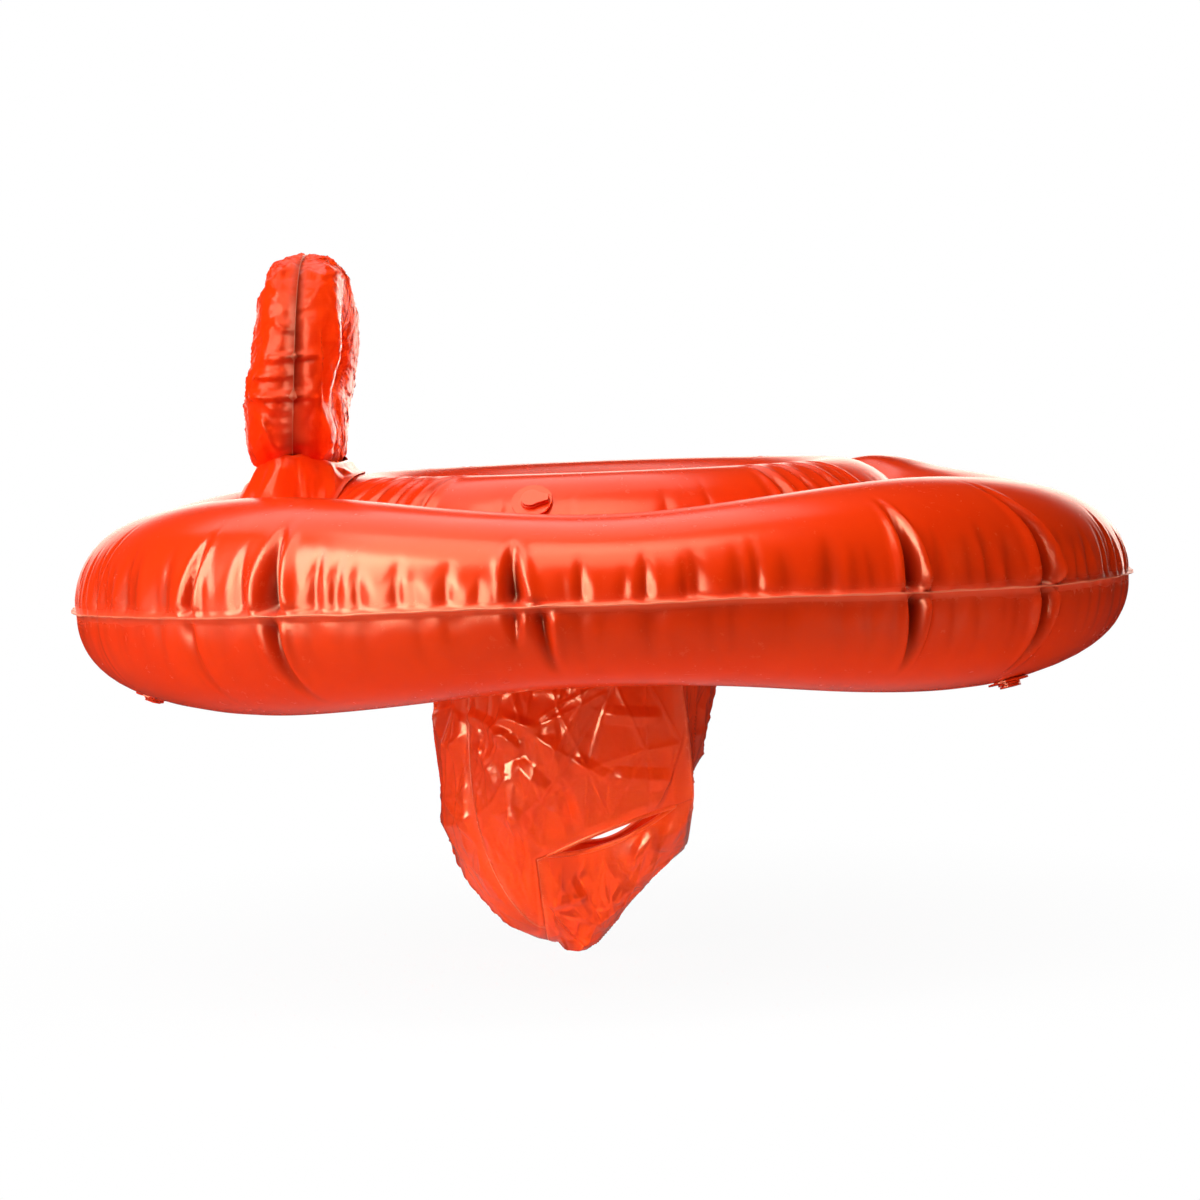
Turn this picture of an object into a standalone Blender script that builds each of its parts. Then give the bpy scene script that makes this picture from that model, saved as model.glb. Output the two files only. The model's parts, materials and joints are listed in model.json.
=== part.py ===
"""Inflatable swim seat: a double float ring, a folding backrest pillow and a hanging sling seat.

The front of the seat looks along +X, its left side is +Y and +Z is up. The origin is the
middle of the float, at the height where the outer weld meets the water at its two ends.
Every length is in metres and every angle in degrees, unless a name says otherwise.
"""

import math

import bmesh
import bpy
from mathutils import Matrix, Vector
from mathutils.bvhtree import BVHTree

# Film and welds
FILM = 0.0006
GAP = 0.0003
SHARP_ANGLE = 50.0
OUTER_FLANGE = 0.003
HOLE_FLANGE = 0.003
MIDDLE_WELD = 0.006

# Outer ring: its weld seen from above, and the height of its film over that weld
RING_LENGTH = 0.660
RING_WIDTH = 0.600
RING_SQUARENESS = 2.1
RING_FULLNESS = 2.35
FRONT_TOP_FULLNESS = 2.2
WELD_HEIGHT_ENDS = 0.003
WELD_HEIGHT_SIDES = 0.0115
TOP_SWELL_ENDS = 0.0575
TOP_SWELL_CORNERS = 0.0635
TOP_SWELL_SIDES = 0.0465
TOP_LEAN = 0.0016
BELLY_SWELL_ENDS = 0.0530
BELLY_SWELL_CORNERS = 0.0605
BELLY_SWELL_SIDES = 0.0488
CREST_INSET_ENDS = 0.0785
CREST_INSET_SIDES = 0.0575

# Middle weld, which joins the two rings, and the inner ring round the body hole
MIDDLE_LENGTH = 0.406
MIDDLE_WIDTH = 0.410
MIDDLE_HEIGHT = 0.015
HOLE_LENGTH = 0.196
HOLE_WIDTH = 0.190
HOLE_HEIGHT = 0.022
INNER_CREST_HEIGHT = 0.0798
INNER_BELLY_HEIGHT = -0.022

# Creases that cross the outer weld: angle from the front, depth, reach in turns of the film
CREASES = (
    (-137.4, 0.0040, 0.30),
    (-126.2, 0.0055, 0.34),
    (-99.3, 0.0050, 0.36),
    (-56.6, 0.0065, 0.40),
    (-37.9, 0.0060, 0.46),
    (35.0, 0.0055, 0.42),
    (61.0, 0.0050, 0.36),
    (103.0, 0.0050, 0.34),
    (131.0, 0.0055, 0.34),
)
CREASE_WIDTH = 0.011
CREASE_START = 0.05
PUCKER_COUNT = 15
PUCKER_DEPTH = 0.0010
PUCKER_REACH = 0.30
COLUMN_STEP = 0.050
OUTER_TURNS = (0.0, 0.10, 0.23, 0.38, 0.56, 0.78, 1.0)
INNER_TURNS = (0.0, 0.13, 0.27, 0.44, 0.62, 0.80, 1.0)
BAFFLE_ANGLE = 90.0
BAFFLE_CLEARANCE = 0.0007

# Backrest pillow: a fat tube round a welded oval, on a thin neck that is its hinge
BACKREST_X = -0.1852
BACKREST_LEAN = 0.070
BACKREST_BOW = 0.002
BACKREST_WIDTH = 0.200
BACKREST_TOP = 0.2192
BACKREST_BOTTOM = 0.086
BACKREST_SQUARENESS = 2.7
BACKREST_FOOT_SQUARENESS = 4.6
BACKREST_SWELL = 0.0222
BACKREST_SWELL_BOTTOM = 0.0272
PATCH_WIDTH = 0.096
PATCH_TOP = 0.172
PATCH_BOTTOM = 0.128
PATCH_SQUARENESS = 2.2
BACKREST_FLANGE = 0.003
BACKREST_COLUMNS = 36
BACKREST_TURNS = (0.0, 0.17, 0.33, 0.50, 0.72, 1.0)
BACKREST_PUCKERS = 9
BACKREST_PUCKER_DEPTH = 0.0016
FOLD_X = -0.1710
FOLD_HEIGHT = 0.0785
NECK_WIDTH = 0.150
NECK_THICKNESS = 0.0018
NECK_STATIONS = 8
ANCHOR_WIDTH = 0.088
ANCHOR_STATIONS = 16
FOOT_CLEARANCE = 0.0009
SKIRT_LENGTH = 0.196
SKIRT_SPREAD = 0.068
SKIRT_SETBACK = 0.006
SKIRT_MOUTH_LENGTH = 0.176
SKIRT_MOUTH = 0.0400
SKIRT_RISE = 0.0060
SKIRT_BRIDGE_HEIGHT = 0.050
SKIRT_CLEARANCE = 0.0016
SKIRT_SQUARENESS = 0.7
SKIRT_COLUMNS = 36

# Sling seat: four skirt panels, a crotch panel and two hemmed leg holes
BAND_WIDTH = 0.004
BAND_THICKNESS = 0.0012
PANEL_HALF_GAP = 0.0004
FRONT_SEAM_ANGLE = 66.0
REAR_SEAM_ANGLE = 150.0
REAR_BULGE = 0.0400
SIDE_BULGE = 0.008
FRONT_BULGE = -0.006
BULGE_LOWNESS = 1.8
BULGE_FULLNESS = 0.6
FOLD_DEPTH = 0.0032
FOLDS_ACROSS = 3.0
FOLDS_DOWN = 2.0
SIDE_FOLD_PHASE = 0.2
LEG_HOLE_X = 0.0
LEG_HOLE_LENGTH = 0.078
LEG_HOLE_SPREAD = 0.126
LEG_HOLE_HEIGHT = -0.143
LEG_HOLE_SLOPE = 0.35
LEG_HOLE_OUTER_EDGE = (0.0, 0.010, 0.003)
LEG_HOLE_INNER_EDGE = (0.0, -0.022, -0.017)
CROTCH_REAR_X = -0.0465
CROTCH_FRONT_X = 0.0508
CROTCH_BOW = 0.004
CROTCH_BOTTOM = -0.2248
CROTCH_LOWEST_X = -0.0240
CROTCH_ROUNDING = 0.006
CROTCH_RISE_FRONT = 0.92
CROTCH_RISE_REAR = 0.42
TROUGH_SQUARENESS = 2.2
REAR_PANEL_SHARE = 0.48
HEM_RADIUS = 0.0016
HEM_CLEARANCE = 0.0009
HEM_POINTS = 30
HEM_END = 1.17
HEM_FADE = 0.11
HOLE_STATIONS = (-HEM_END, -1.06, -0.75, -0.40, 0.0, 0.40, 0.75, 1.06)
REAR_STATIONS = 3
PANEL_COLUMNS = 8
PANEL_ROWS = 8

# Push-in air valve, the same at each chamber
SEAT_RADIUS = 0.0085
SEAT_FLANGE_RADIUS = 0.0120
SEAT_FLANGE_THICKNESS = 0.0010
SEAT_DEPTH = 0.0045
SEAT_STANDOFF = 0.0005
SEAT_CUT_DEPTH = 0.018
STEM_RADIUS = 0.0050
STEM_BORE_RADIUS = 0.0032
STEM_LENGTH = 0.0160
STEM_LIP_RADIUS = 0.0065
STEM_LIP_THICKNESS = 0.0012
STEM_COLLAR_RADIUS = 0.0062
STEM_COLLAR_THICKNESS = 0.0012
TAB_REACH = 0.0102
TAB_ANGLE = 30.0
TAB_HALF_WIDTH = 0.0020
PLUG_RADIUS = 0.0058
PLUG_THICKNESS = 0.0012
NUB_RADIUS = 0.0027
NUB_TIP_RADIUS = 0.0023
NUB_LENGTH = 0.0030
FLAP_RADIUS = 0.0044
FLAP_THICKNESS = 0.0008
VALVE_SEGMENTS = 16

# Where each valve stands: angle from the front and turn of the film
OUTER_REAR_VALVE = (-166.0, 0.38)
OUTER_FRONT_VALVE = (-33.5, 0.38)
INNER_VALVE = (-102.0, 0.27)
BACKREST_VALVE = (10.0, 0.50)

CLOSE = 1e-9


def rounded(angle, half_length, half_width, squareness):
    """Distance from the middle to a rounded outline, in the direction of the angle."""
    across = abs(math.cos(angle)) / half_length
    along = abs(math.sin(angle)) / half_width
    return (across**squareness + along**squareness) ** (-1.0 / squareness)


def between(ends, corners, sides, angle):
    """A size that differs at the ends, corners and sides of the ring, blended smoothly."""
    mean = (ends + sides + 2.0 * corners) / 4.0
    double = (ends - sides) / 2.0
    fourfold = (ends + sides - 2.0 * corners) / 4.0
    return mean + double * math.cos(2.0 * angle) + fourfold * math.cos(4.0 * angle)


def two_point(ends, sides, angle):
    """A size that differs at the ends and sides of the ring."""
    return between(ends, (ends + sides) / 2.0, sides, angle)


def smooth(value):
    """An eased step from 0 to 1."""
    value = min(max(value, 0.0), 1.0)
    return value * value * (3.0 - 2.0 * value)


def bowed(turn, first, last, crest, fullness):
    """Radius and height of a film that bows from one weld over its crest to the next weld."""
    foot = first if turn < 0.5 else last
    swing = math.pi * turn
    power = 2.0 / fullness
    radius = crest[0] + (foot[0] - crest[0]) * abs(math.cos(swing)) ** power
    height = foot[1] + (crest[1] - foot[1]) * abs(math.sin(swing)) ** power
    return radius, height


def outer_weld_radius(angle):
    half_length = RING_LENGTH / 2.0 - OUTER_FLANGE
    half_width = RING_WIDTH / 2.0 - OUTER_FLANGE
    return rounded(angle, half_length, half_width, RING_SQUARENESS)


def middle_weld_radius(angle):
    return rounded(angle, MIDDLE_LENGTH / 2.0, MIDDLE_WIDTH / 2.0, 2.0)


def hole_weld_radius(angle):
    return rounded(angle, HOLE_LENGTH / 2.0, HOLE_WIDTH / 2.0, 2.0)


def outer_weld_height(angle):
    return two_point(WELD_HEIGHT_ENDS, WELD_HEIGHT_SIDES, angle)


def crease_depth(angle, turn):
    """How far the film is drawn in at the creases and puckers that cross the outer weld."""
    radius = outer_weld_radius(angle)
    depth = 0.0
    for place, deepest, reach in CREASES:
        turned = math.remainder(angle - math.radians(place), 2.0 * math.pi)
        near = math.exp(-((turned * radius / CREASE_WIDTH) ** 2))
        depth += deepest * near * smooth(turn / CREASE_START) * (1.0 - smooth(turn / reach))
    ripple = 0.5 - 0.5 * math.cos(PUCKER_COUNT * angle)
    fade = smooth(turn / CREASE_START) * (1.0 - smooth(turn / PUCKER_REACH))
    return depth + PUCKER_DEPTH * ripple * fade


def outer_film(angle, turn, side):
    """A point on the outer ring's film: side 1 is the top sheet, -1 the belly sheet."""
    lift = side * (GAP / 2.0 + FILM)
    weld = outer_weld_height(angle)
    if side > 0:
        swell = between(TOP_SWELL_ENDS, TOP_SWELL_CORNERS, TOP_SWELL_SIDES, angle)
        swell -= TOP_LEAN * math.cos(angle)
    else:
        swell = between(BELLY_SWELL_ENDS, BELLY_SWELL_CORNERS, BELLY_SWELL_SIDES, angle)
    inset = two_point(CREST_INSET_ENDS, CREST_INSET_SIDES, angle)
    first = (outer_weld_radius(angle), weld + lift)
    last = (middle_weld_radius(angle) + MIDDLE_WELD / 2.0, MIDDLE_HEIGHT + lift)
    crest = (first[0] - inset, weld + side * swell)
    fullness = RING_FULLNESS
    if side > 0:
        fullness += (FRONT_TOP_FULLNESS - RING_FULLNESS) * max(0.0, math.cos(angle))
    if turn > 0.5:
        fullness = 2.0
    radius, height = bowed(turn, first, last, crest, fullness)
    depth = crease_depth(angle, turn)
    radius -= depth * math.cos(math.pi * turn)
    height -= side * depth * math.sin(math.pi * turn)
    return Vector((radius * math.cos(angle), radius * math.sin(angle), height))


def inner_film(angle, turn, side):
    """A point on the inner ring's film, from the middle weld to the hole's weld."""
    lift = side * (GAP / 2.0 + FILM)
    first = (middle_weld_radius(angle) - MIDDLE_WELD / 2.0, MIDDLE_HEIGHT + lift)
    last = (hole_weld_radius(angle), HOLE_HEIGHT + lift)
    height = INNER_CREST_HEIGHT if side > 0 else INNER_BELLY_HEIGHT
    crest = ((first[0] + last[0]) / 2.0, height)
    radius, height = bowed(turn, first, last, crest, 2.0)
    return Vector((radius * math.cos(angle), radius * math.sin(angle), height))


def paint(name, colour, roughness):
    """A glossy vinyl of one colour."""
    material = bpy.data.materials.new(name)
    material.use_nodes = True
    shader = material.node_tree.nodes["Principled BSDF"]
    shader.inputs["Base Color"].default_value = (*colour, 1.0)
    shader.inputs["Roughness"].default_value = roughness
    shader.inputs["Metallic"].default_value = 0.0
    return material


def add_object(name, mesh, material):
    """Put a mesh in the scene under a name, with its material."""
    placed = bpy.data.objects.new(name, mesh)
    bpy.context.scene.collection.objects.link(placed)
    mesh.materials.append(material)
    mesh.shade_smooth()
    mesh.set_sharp_from_angle(angle=math.radians(SHARP_ANGLE))
    return placed


def surface(name, rows, closed, flipped):
    """An open film of quads through rows of points; a closed one joins its last row to its first."""
    mesh = bpy.data.meshes.new(name)
    built = bmesh.new()
    made = [[built.verts.new(point) for point in row] for row in rows]
    pairs = list(zip(made, made[1:]))
    if closed:
        pairs.append((made[-1], made[0]))
    for row, following in pairs:
        for step in range(len(row) - 1):
            corners = (row[step], following[step], following[step + 1], row[step + 1])
            built.faces.new(corners[::-1] if flipped else corners)
    built.to_mesh(mesh)
    built.free()
    return mesh


def thicken(placed, thickness, offset):
    """Give a film its thickness; offset -1 grows it inwards from its outer face."""
    solid = placed.modifiers.new("film", "SOLIDIFY")
    solid.thickness = thickness
    solid.offset = offset
    solid.use_even_offset = True
    solid.use_rim = True


def column_angles():
    """Angles round both rings, close together at each crease and evenly spread between."""
    radius = (RING_LENGTH + RING_WIDTH) / 4.0
    kept = [0.0, BAFFLE_ANGLE, 180.0, -BAFFLE_ANGLE]
    kept += [place[0] for place in (OUTER_REAR_VALVE, OUTER_FRONT_VALVE, INNER_VALVE)]
    fixed = {math.radians(place) % (2.0 * math.pi) for place in kept}
    for place, _, _ in CREASES:
        middle = math.radians(place)
        for shift in (-1.0, 0.0, 1.0):
            turned = middle + shift * CREASE_WIDTH / radius
            fixed.add(turned % (2.0 * math.pi))
    ordered = sorted(fixed)
    angles = []
    for first, last in zip(ordered, ordered[1:] + [ordered[0] + 2.0 * math.pi]):
        count = max(1, math.ceil((last - first) * radius / COLUMN_STEP))
        angles += [first + (last - first) * index / count for index in range(count)]
    return angles


def outer_sheet(name, side, material):
    """One sheet of the outer ring, with its weld flanges at both edges."""
    rows = []
    for angle in column_angles():
        row = [outer_film(angle, turn, side) for turn in OUTER_TURNS]
        outward = Vector((math.cos(angle), math.sin(angle), 0.0))
        tip = row[0] + OUTER_FLANGE * outward
        root = row[-1] - (MIDDLE_WELD / 2.0 - GAP / 2.0) * outward
        rows.append([tip] + row + [root])
    sheet = add_object(name, surface(name, rows, True, side < 0), material)
    thicken(sheet, FILM, -1.0)
    return sheet


def inner_sheet(name, side, material):
    """One sheet of the inner ring, from the middle weld to the flange round the body hole."""
    rows = []
    for angle in column_angles():
        row = [inner_film(angle, turn, side) for turn in INNER_TURNS]
        outward = Vector((math.cos(angle), math.sin(angle), 0.0))
        tip = row[0] + (MIDDLE_WELD / 2.0 - GAP / 2.0) * outward
        root = row[-1] - HOLE_FLANGE * outward
        rows.append([tip] + row + [root])
    sheet = add_object(name, surface(name, rows, True, side < 0), material)
    thicken(sheet, FILM, -1.0)
    return sheet


def baffle(name, angle, material):
    """A film wall across the outer ring's tube, which parts its front and rear chambers."""
    loop = [outer_film(angle, turn, 1.0) for turn in OUTER_TURNS]
    loop += [outer_film(angle, turn, -1.0) for turn in reversed(OUTER_TURNS)]
    middle = sum(loop, Vector()) / len(loop)
    pulled = FILM + BAFFLE_CLEARANCE
    inside = []
    for point in loop:
        inward = middle - point
        inside.append(point + inward.normalized() * pulled)
    across = Vector((-math.sin(angle), math.cos(angle), 0.0)) * FILM / 2.0
    mesh = bpy.data.meshes.new(name)
    built = bmesh.new()
    near = [built.verts.new(point - across) for point in inside]
    far = [built.verts.new(point + across) for point in inside]
    built.faces.new(near)
    built.faces.new(far[::-1])
    count = len(inside)
    for index in range(count):
        following = (index + 1) % count
        built.faces.new((near[following], near[index], far[index], far[following]))
    bmesh.ops.recalc_face_normals(built, faces=built.faces)
    bmesh.ops.triangulate(built, faces=built.faces)
    built.to_mesh(mesh)
    built.free()
    return add_object(name, mesh, material)


def bow_x(across, height):
    """Where the backrest's middle plane lies, with its gentle bow and its lean to the front."""
    bow = BACKREST_BOW * (across / (BACKREST_WIDTH / 2.0)) ** 2
    return BACKREST_X + bow + BACKREST_LEAN * (height - BACKREST_BOTTOM)


def backrest_film(around, turn, side):
    """A point on the pillow: side 1 is the front sheet, -1 the rear one."""
    middle = (BACKREST_TOP + BACKREST_BOTTOM) / 2.0
    half_height = (BACKREST_TOP - BACKREST_BOTTOM) / 2.0 - BACKREST_FLANGE
    half_width = BACKREST_WIDTH / 2.0 - BACKREST_FLANGE
    low = smooth(0.5 - 0.5 * math.sin(around))
    squareness = BACKREST_SQUARENESS if math.sin(around) > 0.0 else BACKREST_FOOT_SQUARENESS
    rim = rounded(around, half_width, half_height, squareness)
    patch_middle = (PATCH_TOP + PATCH_BOTTOM) / 2.0
    patch_half = (PATCH_TOP - PATCH_BOTTOM) / 2.0
    patch = rounded(around, PATCH_WIDTH / 2.0, patch_half, PATCH_SQUARENESS)
    swell = BACKREST_SWELL + (BACKREST_SWELL_BOTTOM - BACKREST_SWELL) * low
    inward = 0.5 - 0.5 * math.cos(math.pi * turn)
    radius = rim + (patch - rim) * inward
    height = middle + (patch_middle - middle) * inward + radius * math.sin(around)
    pull = 0.5 - 0.5 * math.cos(BACKREST_PUCKERS * around)
    swell -= BACKREST_PUCKER_DEPTH * pull * abs(math.cos(math.pi * turn))
    proud = GAP / 2.0 + FILM + (swell - FILM) * math.sin(math.pi * turn)
    across = radius * math.cos(around)
    return Vector((bow_x(across, height) + side * proud, across, height))


def backrest_sheet(name, side, material):
    """One sheet of the backrest pillow, closed over its welded middle."""
    mesh = bpy.data.meshes.new(name)
    built = bmesh.new()
    rows = []
    for index in range(BACKREST_COLUMNS):
        around = 2.0 * math.pi * index / BACKREST_COLUMNS
        row = [backrest_film(around, turn, side) for turn in BACKREST_TURNS]
        outward = Vector((0.0, math.cos(around), math.sin(around)))
        rim = row[0] + BACKREST_FLANGE * outward
        rim.x += BACKREST_LEAN * (rim.z - row[0].z)
        rows.append([rim] + row)
    made = [[built.verts.new(point) for point in row] for row in rows]
    patch_middle = (PATCH_TOP + PATCH_BOTTOM) / 2.0
    proud = GAP / 2.0 + FILM
    hub = built.verts.new((bow_x(0.0, patch_middle) + side * proud, 0.0, patch_middle))
    for row, following in zip(made, made[1:] + made[:1]):
        for step in range(len(row) - 1):
            corners = (row[step], following[step], following[step + 1], row[step + 1])
            built.faces.new(corners if side > 0 else corners[::-1])
        last = (row[-1], following[-1], hub)
        built.faces.new(last if side > 0 else last[::-1])
    built.to_mesh(mesh)
    built.free()
    sheet = add_object(name, mesh, material)
    thicken(sheet, FILM, -1.0)
    return sheet


def pillow_foot(across):
    """Height of the pillow's lower edge at a place across its width."""
    middle = (BACKREST_TOP + BACKREST_BOTTOM) / 2.0
    half_height = (BACKREST_TOP - BACKREST_BOTTOM) / 2.0
    share = min(abs(across) / (BACKREST_WIDTH / 2.0), 1.0)
    drop = (1.0 - share**BACKREST_FOOT_SQUARENESS) ** (1.0 / BACKREST_FOOT_SQUARENESS)
    return middle - half_height * drop


def web(name, rows, material):
    """A closed web through rows of points, each row one loop round its thickness."""
    mesh = bpy.data.meshes.new(name)
    built = bmesh.new()
    made = [[built.verts.new(point) for point in row] for row in rows]
    for row, following in zip(made, made[1:]):
        for step in range(len(row)):
            after = (step + 1) % len(row)
            built.faces.new((row[step], row[after], following[after], following[step]))
    built.faces.new(made[0])
    built.faces.new(made[-1][::-1])
    bmesh.ops.recalc_face_normals(built, faces=built.faces)
    built.to_mesh(mesh)
    built.free()
    return add_object(name, mesh, material)


def neck(name, material):
    """The welded tail under the pillow; it bends at its rounded lower edge."""
    half = NECK_THICKNESS / 2.0
    arc = [math.radians(180.0 + 45.0 * step) for step in range(5)]
    rows = []
    for index in range(NECK_STATIONS + 1):
        across = NECK_WIDTH * (index / NECK_STATIONS - 0.5)
        row = []
        for turned in arc:
            x = FOLD_X + half * math.cos(turned)
            row.append(Vector((x, across, FOLD_HEIGHT + half * math.sin(turned))))
        rim = pillow_foot(across) - GAP
        middle = bow_x(across, rim)
        row.append(Vector((middle + half, across, rim)))
        row.append(Vector((middle - half, across, rim)))
        rows.append(row)
    placed = web(name, rows, material)
    shift_origin(placed, Vector((FOLD_X, 0.0, FOLD_HEIGHT)))
    return placed


def anchor(name, rings, material):
    """The web that stands on the inner ring and carries the backrest's neck."""
    half = NECK_THICKNESS / 2.0
    rows = []
    for index in range(ANCHOR_STATIONS + 1):
        across = ANCHOR_WIDTH * (index / ANCHOR_STATIONS - 0.5)
        top = FOLD_HEIGHT - half - GAP
        row = [Vector((FOLD_X + half, across, top)), Vector((FOLD_X - half, across, top))]
        for shift in (-half, half):
            foot = Vector((FOLD_X + shift, across, 0.0))
            foot.z = ring_top(rings, foot) + FOOT_CLEARANCE
            row.append(foot)
        rows.append(row)
    return web(name, rows, material)


def tree_of(sheets):
    """A search tree over the outer faces of some sheets."""
    points, faces = [], []
    for sheet in sheets:
        first = len(points)
        points += [vertex.co for vertex in sheet.data.vertices]
        faces += [[first + index for index in face.vertices] for face in sheet.data.polygons]
    return BVHTree.FromPolygons(points, faces)


def ring_top(rings, place):
    """Height of the rings' top film under a place seen from above."""
    above = Vector((place.x, place.y, BACKREST_TOP))
    hit = rings.ray_cast(above, Vector((0.0, 0.0, -1.0)))[0]
    return hit.z if hit else MIDDLE_HEIGHT


def skirt(name, rings, material):
    """The film skirt that boxes in the backrest's foot, from the rings up to the pillow."""
    rows = []
    for index in range(SKIRT_COLUMNS):
        around = 2.0 * math.pi * index / SKIRT_COLUMNS
        x, y = math.cos(around), math.sin(around)
        wide = math.copysign(abs(x) ** SKIRT_SQUARENESS, x)
        long = math.copysign(abs(y) ** SKIRT_SQUARENESS, y)
        top_y = SKIRT_MOUTH_LENGTH / 2.0 * long
        rim = pillow_foot(top_y)
        top = Vector((bow_x(top_y, rim) + SKIRT_MOUTH / 2.0 * wide, top_y, 0.0))
        top.z = rim + SKIRT_RISE * abs(wide) - GAP
        foot_y = SKIRT_LENGTH / 2.0 * long
        middle = bow_x(foot_y, BACKREST_BOTTOM) - SKIRT_SETBACK
        foot = Vector((middle + SKIRT_SPREAD / 2.0 * wide, foot_y, 0.0))
        foot.z = max(ring_top(rings, foot), SKIRT_BRIDGE_HEIGHT) + SKIRT_CLEARANCE
        rows.append([foot, top.lerp(foot, 0.5), top])
    placed = add_object(name, surface(name, rows, True, False), material)
    thicken(placed, FILM, 0.0)
    return placed


def band(name, material):
    """The welded band round the body hole, which the sling hangs from."""
    rows = []
    for angle in column_angles():
        outside = hole_weld_radius(angle) - HOLE_FLANGE - GAP
        inside = outside - BAND_WIDTH
        half = BAND_THICKNESS / 2.0
        corners = ((outside, -half), (outside, half), (inside, half), (inside, -half))
        row = []
        for radius, lift in corners:
            height = HOLE_HEIGHT + lift
            row.append((radius * math.cos(angle), radius * math.sin(angle), height))
        rows.append(row)
    mesh = bpy.data.meshes.new(name)
    built = bmesh.new()
    made = [[built.verts.new(point) for point in row] for row in rows]
    for row, following in zip(made, made[1:] + made[:1]):
        for step in range(4):
            after = (step + 1) % 4
            built.faces.new((row[step], following[step], following[after], row[after]))
    bmesh.ops.recalc_face_normals(built, faces=built.faces)
    built.to_mesh(mesh)
    built.free()
    return add_object(name, mesh, material)


def leg_line(x):
    """Height of the line along a leg hole, which rises to the front."""
    return LEG_HOLE_HEIGHT + LEG_HOLE_SLOPE * (x - LEG_HOLE_X)


def hole_share(x):
    """How far the leg hole is open at a place along it, from 0 at its ends to 1."""
    along = (x - LEG_HOLE_X) / (LEG_HOLE_LENGTH / 2.0)
    return max(0.0, 1.0 - along * along)


def hem_room(x):
    """How far the panels keep back from the leg hole's line to leave room for its hem."""
    along = abs(x - LEG_HOLE_X) / (LEG_HOLE_LENGTH / 2.0)
    room = HEM_RADIUS + FILM / 2.0 + HEM_CLEARANCE
    return PANEL_HALF_GAP + (room - PANEL_HALF_GAP) * smooth((HEM_END - along) / HEM_FADE)


def hole_edge(x, outer):
    """The line of a leg hole's hem: outer for the side panel's edge, otherwise the crotch panel's."""
    opened = Vector(LEG_HOLE_OUTER_EDGE if outer else LEG_HOLE_INNER_EDGE)
    return Vector((x, LEG_HOLE_SPREAD / 2.0, leg_line(x))) + hole_share(x) * opened


def leg_edge(x, side, outer):
    """The edge of a panel at a leg hole, kept back from the hem."""
    opened = Vector(LEG_HOLE_OUTER_EDGE if outer else LEG_HOLE_INNER_EDGE)
    place = hole_edge(x, outer) + hem_room(x) * opened.normalized()
    place.y *= side
    return place


def trough(x, swing):
    """A point on the crotch panel's trough, with swing -1 to 1 from its right edge to its left."""
    edge = leg_edge(x, 1.0, False)
    away = x - CROTCH_LOWEST_X
    slope = CROTCH_RISE_FRONT if away > 0.0 else CROTCH_RISE_REAR
    rise = math.hypot(slope * away, CROTCH_ROUNDING) - CROTCH_ROUNDING
    sink = edge.z - (CROTCH_BOTTOM + rise)
    drawn = 1.0 - abs(swing) ** TROUGH_SQUARENESS
    bow = 1.0 - swing * swing
    reach = (x - CROTCH_REAR_X) / (CROTCH_FRONT_X - CROTCH_REAR_X)
    shift = CROTCH_BOW * bow * (1.0 - 2.0 * reach)
    return Vector((x + shift, edge.y * swing, edge.z - sink * drawn))


def sling_top(angle):
    """The sling's upper edge, just under the band round the body hole."""
    radius = hole_weld_radius(angle) - HOLE_FLANGE - GAP - BAND_WIDTH / 2.0
    height = HOLE_HEIGHT - BAND_THICKNESS / 2.0 - GAP
    return Vector((radius * math.cos(angle), radius * math.sin(angle), height))


def bulge(angle):
    """How far the sling stands out between its edges: most at the rear, least at the front."""
    facing = math.cos(angle)
    if facing < 0.0:
        return SIDE_BULGE + (REAR_BULGE - SIDE_BULGE) * facing * facing
    return SIDE_BULGE + (FRONT_BULGE - SIDE_BULGE) * facing * facing


def hung(angle, low, down, across, fold_phase):
    """A point on a panel that hangs from the body hole to its lower edge, with its folds."""
    place = sling_top(angle).lerp(low, down)
    outward = Vector((math.cos(angle), math.sin(angle), 0.0))
    belly = abs(math.sin(math.pi * down**BULGE_LOWNESS)) ** BULGE_FULLNESS
    edge = math.sin(math.pi * across) * math.sin(math.pi * down)
    fold = math.sin(math.pi * (FOLDS_ACROSS * across + FOLDS_DOWN * down + fold_phase))
    return place + outward * (bulge(angle) * belly + FOLD_DEPTH * fold * edge)


def panel(name, angles, lows, fold_phase, flipped, material):
    """A hanging panel through a column of points at each angle, down to its lower edge."""
    rows = []
    last = len(angles) - 1
    for index, (angle, low) in enumerate(zip(angles, lows)):
        column = []
        for row in range(PANEL_ROWS + 1):
            column.append(hung(angle, low, row / PANEL_ROWS, index / last, fold_phase))
        rows.append(column)
    placed = add_object(name, surface(name, rows, False, flipped), material)
    thicken(placed, FILM, 0.0)
    return placed


def seam_keep():
    """Half the gap between two panels at the top, as an angle."""
    return PANEL_HALF_GAP / (HOLE_LENGTH / 2.0)


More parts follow.
